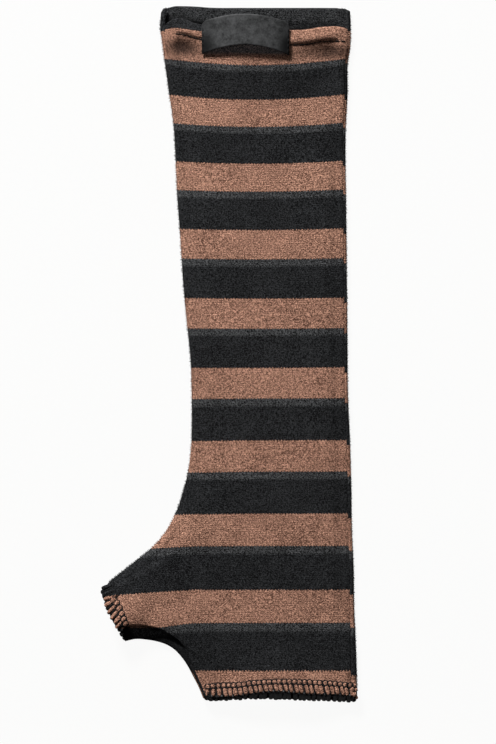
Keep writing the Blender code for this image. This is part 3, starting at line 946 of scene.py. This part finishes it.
def knit_finish():
    """The striped knit: fulled wool whose colour follows the stripe of each point, with painted shade in
    crevices, dimples and the arm's mouth, and a painted shadow below the label.
    """
    g = Graph("striped_knit", KNIT_SHADER)
    stitch = g.node("ShaderNodeAttribute", attribute_name="stitch").outputs["Vector"]
    wale, course, inside = g.split(stitch)
    fuzz, fine, patch = g.noise(*FUZZ_NOISE), g.noise(*FINE_NOISE), g.noise(*PATCH_NOISE)

    half = g.math("PINGPONG", wale, 0.5)
    teeth = g.from_middle(half, 0.25, BAND_TEETH, 0.0)
    frayed = g.from_middle(fuzz, 0.5, BAND_FRAYED, teeth)
    phase = g.math("FRACT", g.math("ADD", g.attribute("stripe"), frayed))
    starts = g.step(DARK_SHARE - BAND_SOFT, DARK_SHARE + BAND_SOFT, phase)
    brown = g.math("MULTIPLY", starts, g.step(1.0, 1.0 - 2 * BAND_SOFT, phase))
    grey = g.step(GREY_SHARE + GREY_SOFT, GREY_SHARE - GREY_SOFT, phase)

    leg = g.math("SINE", g.math("MULTIPLY", g.math("ADD", course, half), math.tau))
    rib = g.math("SINE", g.math("MULTIPLY", half, math.tau))
    loop = g.math("MULTIPLY", g.math("MULTIPLY_ADD", leg, 0.5, 0.5), rib)

    light = g.from_middle(g.weighed(fuzz, fine, 0.5, 0.5), 0.5, *FIBRES)
    light = g.from_middle(patch, 0.5, PATCHES, light)
    light = g.from_middle(loop, *LOOPS, light, clamp=True)

    black, grey_yarn, brown_yarn = (g.mix(light, *yarn) for yarn in (BLACK, GREY, BROWN))
    striped = g.mix(brown, g.mix(grey, black, grey_yarn), brown_yarn)
    turned = g.mix(inside, striped, g.mix(INSIDE_GREY, black, grey_yarn))
    # Painted shadow below the label, with lighter fibres showing through it
    flecks = g.math("MULTIPLY_ADD", light, *SHADED_FIBRES)
    flecked = g.math("MULTIPLY", g.attribute("shaded"), flecks, clamp=True)
    turned = g.mix(flecked, turned, g.mix(light, *SHADED_GREY))
    threaded = g.mix(g.attribute("covered"), turned, g.mix(light, *THREAD_BLACK))
    # Painted shade: the colour is darkened where hardly any light comes
    shade_share = g.math("MULTIPLY", g.attribute("painted_shade"), PAINTED_SHADE_SHARE)
    relief = g.weighed(loop, light, *KNIT_BUMP[:2])
    return g.finished(g.mix(shade_share, threaded, PAINTED_SHADE_BLACK), relief, *KNIT_BUMP[2:])


def label_finish():
    """Smooth charcoal ribbon with fine ribs along its width, and painted shade towards its sewn ends."""
    g = Graph("charcoal_ribbon", LABEL_SHADER)
    ribs = g.node("ShaderNodeTexWave", {"Vector": g.place, **LABEL_RIBS}).outputs["Fac"]
    cloud, grain = g.noise(*CLOUD_NOISE), g.noise(*GRAIN_NOISE)
    across, along, _ = g.split(g.place)
    aside = g.math("ABSOLUTE", g.math("SUBTRACT", across, sum(LABEL_ENDS) / 2 * MM))
    plain, dark, low, high = (place * MM for place in LABEL_PAINTED_DARK)
    # Painted shade towards the sewn ends, most at their lower corners
    ends = g.math("MULTIPLY_ADD", g.step(high, low, along), *LABEL_ENDS_PAINTED_DARK)
    ends = g.math("MULTIPLY", g.step(plain, dark, aside), ends)
    shade = g.from_middle(cloud, 0.5, LABEL_CLOUDS, grain)
    shade = g.math("MULTIPLY", shade, g.math("SUBTRACT", 1.0, ends), clamp=True)
    g.put(g.shader["Roughness"], g.math("MULTIPLY_ADD", cloud, *LABEL_ROUGH))
    relief = g.weighed(ribs, grain, *LABEL_BUMP[:2])
    return g.finished(g.mix(shade, *LABEL_TONES), relief, *LABEL_BUMP[2:])


def thread_finish(name, low, high):
    """Thread, twisted and slightly hairy."""
    g = Graph(name, THREAD_SHADER)
    twist = g.noise(*TWIST_NOISE)
    return g.finished(g.mix(twist, low, high), twist, *THREAD_BUMP)


def floor_finish():
    """Pale matt paper with a faint tooth, lit through from below so that hardly a shadow shows."""
    g = Graph("pale_floor", FLOOR_SHADER)
    g.put(g.shader["Base Color"], g.mix(g.noise(*TOOTH_NOISE), *FLOOR_TONES))
    return g.material


def label_bow(share):
    """How far the label is bowed, as a share of the most, along its length."""
    return np.maximum(np.sin(math.pi * share), 0.0) ** LABEL_BOW


def label_strip(finish):
    """The label: sewn at both ends, and bowed up and towards the arm between them."""
    grid = []
    for column in range(LABEL_COLUMNS + 1):
        share = column / LABEL_COLUMNS
        across = LABEL_ENDS[0] + (LABEL_ENDS[1] - LABEL_ENDS[0]) * share
        foot = LABEL_FOOT[0] + (LABEL_FOOT[1] - LABEL_FOOT[0]) * share
        bow = label_bow(share)
        from_end = min(across - LABEL_ENDS[0], LABEL_ENDS[1] - across)
        missing = max(LABEL_CORNER - from_end, 0.0)
        cut = LABEL_CORNER - math.sqrt(LABEL_CORNER**2 - missing**2)
        rows = np.linspace(0.0, 1.0, LABEL_ROWS + 1)
        along = foot + (LABEL_HEIGHT - cut) * rows
        spread = np.full(len(along), across)
        cloth_top = front_height(spread, along)
        flat = np.linspace(cloth_top[0], cloth_top[-1], len(along))
        flat += max((cloth_top - flat).max(), 0.0)
        height = flat + LABEL_GAP + LABEL_WALL + LABEL_RISE * bow
        grid.append(np.column_stack([spread, along + (LABEL_LEAN + LABEL_FAN * rows) * bow, height]))
    points, faces = welded([grid], False)
    if vertex_normals(points, faces)[:, 2].mean() < 0:
        faces = [f[::-1] for f in faces]
    surface = BVHTree.FromPolygons(points.tolist(), faces)
    count = len(points)
    points, faces, _ = shell(points, faces, np.full(count, LABEL_WALL), np.full(count, LABEL_ROUND))
    return made("label_strip", points, faces, finish), surface


# Overlock stitches over the rims of fingers and thumb: cloth puffed up between black threads.
# Lines of the needle and of the rim. Columns: across, along
FINGER_NEEDLE = (
    (-13.8, -188.0), (-6.0, -187.2), (3.0, -186.9), (12.0, -185.8), (23.2, -184.9), (35.0, -184.9),
    (46.0, -185.3), (58.0, -186.0), (70.2, -187.2),
)
FINGER_EDGE = (
    (-14.4, -194.6), (-6.0, -194.9), (4.3, -194.4), (15.8, -192.5), (29.6, -191.7), (41.0, -192.8),
    (54.0, -193.5), (66.0, -193.9), (70.2, -194.6),
)
THUMB_NEEDLE = (
    (-66.8, -129.4), (-65.4, -133.8), (-64.1, -138.2), (-63.0, -141.6), (-61.9, -144.4),
    (-60.4, -147.5), (-59.0, -150.4), (-57.6, -153.6),
)

# Stitches of the thumb's rim. Columns: across and along of the ball, and of the end of the leg
THUMB_STITCHES = (
    (-68.3, -131.2, -73.2, -133.2), (-67.0, -134.2, -72.8, -136.9), (-65.6, -136.9, -72.0, -139.4),
    (-66.6, -139.6, -71.4, -143.0), (-64.6, -141.2, -69.6, -147.4), (-63.1, -144.2, -67.9, -150.4),
    (-61.7, -147.2, -65.6, -152.6), (-60.6, -150.3, -65.1, -155.4), (-59.5, -152.9, -62.4, -157.2),
)
THUMB_EDGE = (
    (-72.4, -133.6), (-72.2, -138.0), (-71.0, -142.6), (-69.0, -147.0), (-66.8, -151.2),
    (-64.2, -155.0), (-61.6, -156.4),
)

KNIT = knit_finish()
THREAD = thread_finish("black_thread", *THREAD_BLACK)
# The loops' thread has painted light: a lighter black than the thread's own
LOOPED = thread_finish("black_thread_painted_light", *LOOP_BLACK)
front, front_surface = cloth("front_cloth", FRONT, True, KNIT)
back, back_surface = cloth("back_cloth", BACK, False, KNIT)
label, label_surface = label_strip(label_finish())

# One stitch: half length and half width of its ball, half widths of its leg and foot, and how high
# they stand on the outer side and, pressed flat, on the underside
BALL = {"finger": (1.3, 1.27), "thumb": (1.75, 1.3)}
LEG_WIDTH = {"finger": 1.26, "thumb": 1.22}
FOOT = (0.95, 1.15)
PUFF_HEIGHT = {1: 1.05, -1: 0.7}
PUFF_SIDES = 10
PUFF_RINGS = 7
PUFF_FULL = 0.65
PUFF_LIFT = 0.05
BALL_FLAT = 0.9
LEG_LONGER = 0.1
OVERLAP = {"finger": 0.1, "thumb": 0.7}

# The foot lies back from the rim and sinks in
FOOT_BACK = 0.8
FOOT_LIFT = -0.1

# Threads between the stitches and, bowed over the ball, on them: steps, turn as shares of half a
# circle, gap and lift. The neck is the thread below the ball: height and radius, half length, bow
THREAD_RADIUS = 0.43
THREAD_LIFT = 0.1
THREAD_SIDES = 6
THREAD_STEPS = 6
THREAD_END = 0.5
THREAD_UPRIGHT = 0.1
ARC_RADIUS = {"finger": 0.33, "thumb": 0.28}
ARC_STEPS = 8
ARC_TURN = 1.2
ARC_START = 0.1
ARC_GAP = 0.3
ARC_LIFT = 0.2
NECK = {"finger": (0.35, 0.32), "thumb": (0.1, 0.2)}
NECK_HALF = 1.2
NECK_BOW = 0.25

# How much the sizes of such small forms differ from each other: least and most
VARIED = {
    "ball": (0.92, 1.08),
    "leg": (0.84, 1.1),
    "leg_height": (0.9, 1.1),
    "foot": (0.75, 1.1),
    "arc": (0.9, 1.15),
    "thread": (0.85, 1.2),
    "loop": (0.85, 1.15),
    "lump": (0.85, 1.1),
}

# A row of stitches: over what share of it the slant sets in, where in its room each stitch lies, how
# much its slant differs, and how far the ball lies in from the needle's line. Between stitches that
# are placed singly, the thread is longer at its start and shorter at its end by these shares
SLANT_START = 0.12
STITCH_PLACE = (0.45, 0.55)
STITCH_SLANT = (-0.13, 0.13)
NEEDLE_GAP = 0.25
THREAD_LONGER = (0.2, 0.12)

# One black loop over the inner side of a rim and one lump along its edge: half length, half width,
# half height. Then the two rows of loops, in from the rim and size, and how the places and turns of
# loops and lumps differ
LOOP = (2.0, 1.35, 0.85)
LOOP_ROWS = ((1.6, 1.0), (4.4, 0.85))
LOOP_PLACE = (0.35, 0.65)
LOOP_REACH = 0.01
LOOP_SHIFT = (-0.4, 0.4)
LOOP_TURN = (-0.5, 0.5)
LOOP_SINK = 0.2
EDGE_LUMP = (1.25, 1.0, 1.05)
LUMP_INWARDS = 0.7
LUMP_OUT = (0.3, 0.6)

# Where rays on to a surface start, the most height of the underside, and the height of the sides
RAY_START = 40.0
UNDERSIDE_TOP = 6.0
SIDE_HEIGHT = 3.0


def along_line(line, share):
    """The point at a share of a line's length."""
    run = lengths(line)
    return np.array([np.interp(share * run[-1], run, line[:, k]) for k in range(2)])


class Heap:
    """Points and faces of many small closed forms, gathered into one piece."""

    def __init__(self):
        self.points, self.faces = [], []

    def add(self, points, faces):
        start = len(self.points)
        self.points.extend(points)
        self.faces.extend(tuple(start + k for k in face) for face in faces)

    def puff(self, centre, axis, up, half_length, half_width, half_height):
        """A rounded lump, longest along its axis."""
        side = np.cross(up, axis)
        start = [centre - axis * half_length]
        for ring in range(1, PUFF_RINGS):
            turn = math.pi * ring / PUFF_RINGS
            out, far = math.sin(turn) ** PUFF_FULL, -math.cos(turn)
            for step in range(PUFF_SIDES):
                way = math.tau * step / PUFF_SIDES
                wide = side * math.cos(way) * half_width + up * math.sin(way) * half_height
                start.append(centre + axis * (far * half_length) + wide * out)
        start.append(centre + axis * half_length)
        self.add(start, capped(PUFF_RINGS - 1, PUFF_SIDES))

    def tube(self, path, radius):
        """A thread along a path, with rounded ends."""
        path = np.asarray(path)
        ways = np.gradient(path, axis=0)
        ways /= np.linalg.norm(ways, axis=1)[:, None]
        points = [path[0] - ways[0] * radius * THREAD_END]
        for spot, way in zip(path, ways):
            side = np.cross(way, (0.0, 0.0, 1.0))
            if np.linalg.norm(side) < THREAD_UPRIGHT:
                side = np.cross(way, (1.0, 0.0, 0.0))
            side /= np.linalg.norm(side)
            up = np.cross(side, way)
            for step in range(THREAD_SIDES):
                turn = math.tau * step / THREAD_SIDES
                points.append(spot + radius * (side * math.cos(turn) + up * math.sin(turn)))
        points.append(path[-1] + ways[-1] * radius * THREAD_END)
        self.add(points, capped(len(path), THREAD_SIDES))


def capped(rings, sides):
    """Faces of a closed form: a first point, rings of points, and a last point."""
    faces = []
    for step in range(sides):
        after = (step + 1) % sides
        faces.append((0, 1 + after, 1 + step))
        for ring in range(rings - 1):
            a, b = 1 + ring * sides + step, 1 + ring * sides + after
            faces.append((a, b, b + sides, a + sides))
        last = 1 + (rings - 1) * sides
        faces.append((last + step, last + after, rings * sides + 1))
    return faces


def on_surface(surface, spot, facing, lift):
    """A point over a place on a panel's outer side, and the way out there."""
    start = Vector((*spot, RAY_START * facing))
    hit, normal, _, _ = surface.ray_cast(start, Vector((0.0, 0.0, -facing)))
    if hit is None or (hit.z > UNDERSIDE_TOP and facing < 0):
        hit, normal, _, _ = surface.find_nearest(Vector((*spot, SIDE_HEIGHT)))
        normal = Vector((0.0, 0.0, facing))
    normal = np.array(normal if normal.z * facing > 0 else -normal)
    return np.array((*spot, hit.z)) + normal * lift, normal


def over_surface(surface, spots, facing, lift):
    """A path over a panel's outer side."""
    return [on_surface(surface, spot, facing, lift)[0] for spot in spots]


def laid(way, up):
    """A way across and along, turned into a surface."""
    axis = np.array((*way, 0.0))
    axis = axis - up * axis.dot(up)
    return axis / np.linalg.norm(axis)


def stitch(surface, start, end, kind, facing, puffs, threads, draw):
    """One overlock stitch: its ball, leg and foot, and the thread bowed over the ball."""
    reach = np.linalg.norm(end - start)
    way = (end - start) / reach
    long, wide = (size * draw.uniform(*VARIED["ball"]) for size in BALL[kind])
    tall = PUFF_HEIGHT[facing]
    centre, up = on_surface(surface, start, facing, PUFF_LIFT)
    axis = laid(way, up)
    puffs.puff(centre, axis, up, long, wide, tall * BALL_FLAT)
    leg = (reach - long + OVERLAP[kind]) / 2 + LEG_LONGER
    low, up_low = on_surface(surface, start + way * (long + leg - OVERLAP[kind]), facing, PUFF_LIFT)
    width = LEG_WIDTH[kind] * draw.uniform(*VARIED["leg"])
    puffs.puff(low, axis, up_low, leg, width, tall * draw.uniform(*VARIED["leg_height"]))
    foot, up_foot = on_surface(surface, end - way * FOOT_BACK, facing, FOOT_LIFT)
    puffs.puff(foot, axis, up_foot, FOOT[0], FOOT[1] * draw.uniform(*VARIED["foot"]), tall)
    side = np.cross(up, axis)
    arc = []
    for step in range(ARC_STEPS + 1):
        turn = math.pi * (step / ARC_STEPS * ARC_TURN - ARC_START)
        round_ball = side * math.cos(turn) * (wide + ARC_GAP) - axis * math.sin(turn) * (long + ARC_GAP)
        arc.append(centre + up * ARC_LIFT + round_ball)
    threads.tube(arc, ARC_RADIUS[kind] * draw.uniform(*VARIED["arc"]))
    lift, radius = NECK[kind]
    neck = centre + axis * long + up * tall * lift
    threads.tube([neck - side * NECK_HALF, neck + up * NECK_BOW, neck + side * NECK_HALF], radius)


def overlock(surface, needle, edge, count, lean, kind, facing, puffs, threads, seed):
    """A row of overlock stitches between a needle line and a rim, with threads between them."""
    draw = random.Random(seed)
    needle, edge = smooth_line(needle), smooth_line(edge)
    for number in range(count + 1):
        share = number / count
        slant = lean / count * smoothstep(0.0, SLANT_START, share)
        start, end = along_line(needle, share), along_line(edge, min(share + slant, 1.0))
        if number:
            path = over_surface(surface, straight(start, end, THREAD_STEPS), facing, THREAD_LIFT)
            threads.tube(path, THREAD_RADIUS * draw.uniform(*VARIED["thread"]))
        if number == count:
            break
        share = (number + draw.uniform(*STITCH_PLACE)) / count
        start = along_line(needle, share)
        end = along_line(edge, min(share + slant + draw.uniform(*STITCH_SLANT) / count, 1.0))
        way = (end - start) / np.linalg.norm(end - start)
        start = start + way * (BALL[kind][0] + NEEDLE_GAP)
        stitch(surface, start, end, kind, facing, puffs, threads, draw)


def placed_stitches(surface, table, kind, facing, puffs, threads, seed):
    """Overlock stitches at the places of a table, with a thread between each two."""
    draw = random.Random(seed)
    rows = np.array(table)
    for row in rows:
        stitch(surface, row[:2], row[2:], kind, facing, puffs, threads, draw)
    for row in (rows[1:] + rows[:-1]) / 2:
        way = row[2:] - row[:2]
        line = straight(row[:2] - way * THREAD_LONGER[0], row[2:] - way * THREAD_LONGER[1], THREAD_STEPS)
        threads.tube(over_surface(surface, line, facing, THREAD_LIFT), THREAD_RADIUS)


def looped(surface, edge, count, facing, threads, seed, edged=True):
    """A row of black loops over the inner side of a rim, and lumps of thread along its edge."""
    draw = random.Random(seed)
    edge = smooth_line(edge)
    for number in range(count):
        share = (number + draw.uniform(*LOOP_PLACE)) / count
        spot = along_line(edge, share)
        before, after = max(share - LOOP_REACH, 0.0), min(share + LOOP_REACH, 1.0)
        ahead = along_line(edge, after) - along_line(edge, before)
        ahead = ahead / np.linalg.norm(ahead)
        out = np.array((ahead[1], -ahead[0]))
        for inwards, size in LOOP_ROWS:
            place = spot - out * inwards + ahead * draw.uniform(*LOOP_SHIFT)
            base, up = on_surface(surface, place, facing, -WALL)
            axis = laid(out + ahead * draw.uniform(*LOOP_TURN), up)
            long, wide, high = (size * draw.uniform(*VARIED["loop"]) * k for k in LOOP)
            threads.puff(base - up * LOOP_SINK, axis, -up, long, wide, high)
        if not edged:
            continue
        base, up = on_surface(surface, spot - out * LUMP_INWARDS, facing, -WALL / 2)
        base = base + np.array((*out, 0.0)) * draw.uniform(*LUMP_OUT)
        long, wide, high = (draw.uniform(*VARIED["lump"]) * k for k in EDGE_LUMP)
        threads.puff(base, np.array((*ahead, 0.0)), -up, long, wide, high)


def beads(heap, surface, table, lift):
    """Rounded beads over a surface, from a table of across, along and half size."""
    for across, along, size in table:
        centre, up = on_surface(surface, (across, along), 1, lift)
        heap.puff(centre, np.array((0.0, -1.0, 0.0)), up, size * BEAD_LONG, size, size)


def stitch_piece(name, heap, panel, finish):
    """A gathered piece of puffs or threads."""
    points = np.array(heap.points)
    attributes = ()
    if panel:
        stitches, stripe = cloth_values(panel, points, np.zeros(len(points)))
        attributes = (("stitch", "FLOAT_VECTOR", stitches), ("stripe", "FLOAT", stripe))
    piece = made(name, points, heap.faces, finish, attributes)
    return piece


BACK_FINGER_EDGE = (
    (-14.6, -196.2), (-12.0, -197.2), (-6.0, -197.1), (4.3, -196.6), (15.8, -196.3), (29.6, -196.5),
    (41.0, -196.9), (54.0, -197.3), (66.0, -197.8), (70.0, -198.0), (72.6, -197.0),
)
BACK_THUMB_EDGE = (
    (-70.6, -137.6), (-69.9, -143.0), (-68.4, -148.0), (-66.3, -152.0), (-63.8, -156.6),
    (-61.8, -160.6), (-59.6, -163.0),
)
BACK_NEEDLE = (
    (-14.0, -189.6), (-6.0, -189.8), (4.3, -189.6), (15.8, -189.2), (29.6, -189.4), (41.0, -189.8),
    (54.0, -190.2), (68.0, -190.6),
)
BACK_THUMB_NEEDLE = ((-66.0, -131.0), (-63.0, -138.0), (-60.0, -146.0), (-57.6, -153.0), (-56.6, -158.6))

# Beads of cloth at the palm side's corner of the finger end: across, along, half size.
# Lumps of thread at the tip of the thumb's rim: the same
BEAD_LONG = 1.15
BEAD_LIFT = 0.6
CORNER_BEADS = (
    (69.9, -188.7, 1.0), (71.7, -188.7, 0.9), (70.5, -191.0, 1.1), (72.2, -191.3, 0.9),
    (71.5, -193.9, 1.2), (69.3, -194.9, 1.1), (72.5, -195.6, 0.8),
)
TIP_LIFT = 0.55
TIP_LUMPS = ((-72.2, -132.9, 1.15), (-72.8, -135.0, 1.1), (-71.9, -137.5, 1.2))

# Threads at both corners of the finger end: across and along of their start and end, steps, lift
CORNER_STEPS = 5
CORNER_LIFT = (0.2, 0.7)
CORNER_THREADS = (
    (-13.8, -191.6, -13.0, -196.6), (-12.2, -192.4, -12.8, -197.0), (-14.4, -193.2, -10.6, -195.4),
    (-13.4, -195.0, -9.8, -196.9), (-11.0, -193.0, -10.4, -196.8), (70.9, -187.8, 71.0, -192.0),
    (71.2, -190.0, 72.6, -194.6), (69.4, -193.2, 72.8, -195.0), (68.8, -196.8, 72.2, -195.0),
    (70.8, -193.6, 71.6, -197.6),
)

# The seam of the fork near the finger end, sewn with black thread that shows: start and end along,
# how far inwards, radius, lift
SEAM_THREAD = (-177.0, -195.5, 2.4, 0.75, 0.15)

front_puffs, back_puffs, rim_threads, rim_loops = Heap(), Heap(), Heap(), Heap()
overlock(front_surface, FINGER_NEEDLE, FINGER_EDGE, 29, 0.8, "finger", 1, front_puffs, rim_threads, 3)
placed_stitches(front_surface, THUMB_STITCHES, "thumb", 1, front_puffs, rim_threads, 5)
edge = BACK_FINGER_EDGE[:-2]
overlock(back_surface, BACK_NEEDLE, edge, 28, 0.6, "finger", -1, back_puffs, rim_threads, 11)
edge = BACK_THUMB_EDGE
overlock(back_surface, BACK_THUMB_NEEDLE, edge, 9, 0.4, "thumb", -1, back_puffs, rim_threads, 13)
looped(back_surface, BACK_FINGER_EDGE, 31, -1, rim_loops, 7)
looped(back_surface, BACK_THUMB_EDGE, 10, -1, rim_loops, 9)
looped(front_surface, FINGER_EDGE, 29, 1, rim_loops, 15)
looped(front_surface, THUMB_EDGE, 9, 1, rim_loops, 17, edged=False)
beads(front_puffs, back_surface, CORNER_BEADS, BEAD_LIFT)
draw = random.Random(19)
for row in CORNER_THREADS:
    surface = front_surface if row[0] < 0 else back_surface
    line = straight(*np.array(row).reshape(2, 2), CORNER_STEPS)
    rim_threads.tube(over_surface(surface, line, 1, draw.uniform(*CORNER_LIFT)), THREAD_RADIUS)
beads(rim_threads, front_surface, TIP_LUMPS, TIP_LIFT)
first, last, inwards, radius, lift = SEAM_THREAD
seam = [(across + inwards, along) for across, along, _ in FORK_LINE if last < along < first]
rim_threads.tube(over_surface(front_surface, seam, 1, lift), radius)
stitch_piece("front_puffs", front_puffs, FRONT, KNIT)
stitch_piece("back_puffs", back_puffs, BACK, KNIT)
stitch_piece("rim_threads", rim_threads, None, THREAD)
stitch_piece("rim_loops", rim_loops, None, LOOPED)

# Stitches of the turned hem and of the label's ends, as short dashes: length, gap, radius, lift.
# Then steps of a dash and how far its ends sink in, in radii, the hem's line, across and from the
# rim, and where the label's lines lie, in from its ends and up from its feet
HEM_DASH = (3.0, 0.4, 0.36, 0.1)
LABEL_DASH = (1.9, 1.0, 0.26, 0.1)
DASH_STEPS = 4
DASH_SINK = 1.2
HEM_LINE_ENDS = (-31.0, 68.6)
HEM_LINE_POINTS = 30
HEM_LINE_DEPTH = 7.5
LABEL_LINE = (0.7, 0.8)


def dashes(surface, line, dash, facing, threads):
    """Short stitches along a line over a surface."""
    length, gap, radius, lift = dash
    line = smooth_line(line)
    total = lengths(line)[-1]
    for number in range(int(total / (length + gap))):
        start = number * (length + gap) + gap / 2
        shares = [(start + length * k / DASH_STEPS) / total for k in range(DASH_STEPS + 1)]
        path = over_surface(surface, [along_line(line, share) for share in shares], facing, lift)
        for tip in (path[0], path[-1]):
            tip[2] -= facing * radius * DASH_SINK
        threads.tube(path, radius)


hem_threads = Heap()
spots = np.linspace(*HEM_LINE_ENDS, HEM_LINE_POINTS)
for panel, surface, facing in ((FRONT, front_surface, 1), (BACK, back_surface, -1)):
    hem_line = np.column_stack([spots, rim_along("arm", panel, spots) - HEM_LINE_DEPTH])
    dashes(surface, hem_line, HEM_DASH, facing, hem_threads)
for end, foot, inwards in zip(LABEL_ENDS, LABEL_FOOT, (LABEL_LINE[0], -LABEL_LINE[0])):
    low, high = foot + LABEL_LINE[1], foot + LABEL_HEIGHT - LABEL_CORNER
    dashes(label_surface, ((end + inwards, low), (end + inwards, high)), LABEL_DASH, 1, hem_threads)
stitch_piece("hem_threads", hem_threads, None, THREAD)

# Short fibres that stand out along the folds and the arm's rim: spacing, length, half thickness and
# where they are thickest, a direction that none of them has, how far they keep from the side's ends,
# how far their roots lie inside the cloth, least and most turn round the fold, and tilt.
# Along the rim: height, and the way they point
FUZZ_STEP = 0.22
FUZZ_LENGTH = (0.7, 1.5)
FUZZ_RADIUS = (0.1, 0.22)
FUZZ_THICKEST = 0.45
FUZZ_ASKEW = (0.3, 0.2, 1.0)
FUZZ_ENDS = (4.0, 6.0)
FUZZ_ROOT = 0.25
FUZZ_TURN = (0.28, 0.72)
FUZZ_TILT = (-0.8, 0.8)
RIM_FUZZ_HEIGHT = (0.5, HEM_WALL - 0.3)
RIM_FUZZ_ASIDE = (-0.7, 0.7)
RIM_FUZZ_UP = (-0.3, 0.6)


def fibre(heap, root, way, length, radius):
    """A short pointed fibre."""
    way = way / np.linalg.norm(way)
    side = np.cross(way, FUZZ_ASKEW)
    side /= np.linalg.norm(side)
    up = np.cross(side, way)
    ring = [
        root + way * length * FUZZ_THICKEST + radius * (side * math.cos(turn) + up * math.sin(turn))
        for turn in (0.0, math.tau / 3, 2 * math.tau / 3)
    ]
    heap.add([root, *ring, root + way * length], capped(1, 3))


def fuzz_along(line, heap, draw):
    """Fibres out from the fold along a sewn side."""
    total = lengths(line)[-1]
    distances = np.arange(FUZZ_ENDS[0], total - FUZZ_ENDS[1], FUZZ_STEP)
    for section in sections(line, distances):
        turn = draw.uniform(*FUZZ_TURN)
        run = np.array([FOLD * math.pi * turn])
        root = placed(BACK, section, *round_fold(run, FUZZ_ROOT))[0]
        inwards = np.array((*section[1], 0.0))
        tangent = np.array((-inwards[1], inwards[0], 0.0))
        lean = math.pi * (turn - 0.5)
        out = -inwards * math.cos(lean) + np.array((0.0, 0.0, math.sin(lean)))
        way = out + tangent * draw.uniform(*FUZZ_TILT)
        fibre(heap, root, way, draw.uniform(*FUZZ_LENGTH), draw.uniform(*FUZZ_RADIUS))


fuzz = Heap()
draw = random.Random(23)
fuzz_along(THUMB_LINE, fuzz, draw)
fuzz_along(PALM_LINE, fuzz, draw)
for across in np.arange(ARM_RIM[1][0], ARM_RIM[-2][0], FUZZ_STEP):
    along = rim_along("arm", BACK, across) - FUZZ_ROOT
    root = np.array((across, along, draw.uniform(*RIM_FUZZ_HEIGHT)))
    way = np.array((draw.uniform(*RIM_FUZZ_ASIDE), 1.0, draw.uniform(*RIM_FUZZ_UP)))
    fibre(fuzz, root, way, draw.uniform(*FUZZ_LENGTH), draw.uniform(*FUZZ_RADIUS))
stitch_piece("fuzz", fuzz, BACK, KNIT)

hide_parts("front_panel")
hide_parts("back_panel")
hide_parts("label")

# The floor is wide enough that its edge never shows
FLOOR = 4.0
FLOOR_DROP = 0.0003
floor_mesh = bpy.data.meshes.new("floor")
corners = [(x * FLOOR, y * FLOOR, -FLOOR_DROP) for x, y in ((-1, -1), (1, -1), (1, 1), (-1, 1))]
floor_mesh.from_pydata(corners, [], [(0, 1, 2, 3)])
floor_mesh.materials.append(floor_finish())
floor = bpy.data.objects.new("floor", floor_mesh)
bpy.context.scene.collection.objects.link(floor)
floor.visible_diffuse = False
floor.visible_glossy = False


def area_light(name, place, aim, size, power):
    """A soft square light."""
    data = bpy.data.lights.new(name, "AREA")
    data.shape = "RECTANGLE"
    data.size, data.size_y = size
    data.energy = power
    lamp = bpy.data.objects.new(name, data)
    lamp.location = place
    lamp.rotation_euler = (Vector(aim) - Vector(place)).to_track_quat("-Z", "Y").to_euler()
    lamp.visible_camera = False
    bpy.context.scene.collection.objects.link(lamp)


# Soft studio light from the arm end and above. Columns: place, aim, size, power
area_light("key", (-0.68, 1.66, 1.2), (0.0, 0.0, 0.0), (0.5, 0.4), 86.0)
area_light("top", (0.0, 0.05, 2.4), (0.0, 0.0, 0.0), (0.5, 0.5), 5.0)

world = bpy.data.worlds.new("studio")
world.use_nodes = True
background = world.node_tree.nodes["Background"].inputs
background["Color"].default_value = (1.0, 1.0, 1.0, 1.0)
background["Strength"].default_value = 0.03
bpy.context.scene.world = world
bpy.context.scene.view_settings.view_transform = "Standard"

# Camera straight above, at the middle of the photograph's frame
FRAME_HEIGHT = 427.0
FRAME_MIDDLE = (10.62, -8.9)
FOCUS_PLANE = 2.4
LENS = 300.0
SENSOR = 36.0
camera_data = bpy.data.cameras.new("camera")
camera_data.lens = LENS
camera_data.sensor_width = SENSOR
camera = bpy.data.objects.new("camera", camera_data)
camera.location = (
    FRAME_MIDDLE[0] * MM,
    FRAME_MIDDLE[1] * MM,
    (FOCUS_PLANE + FRAME_HEIGHT * LENS / SENSOR) * MM,
)
bpy.context.scene.collection.objects.link(camera)
bpy.context.scene.camera = camera
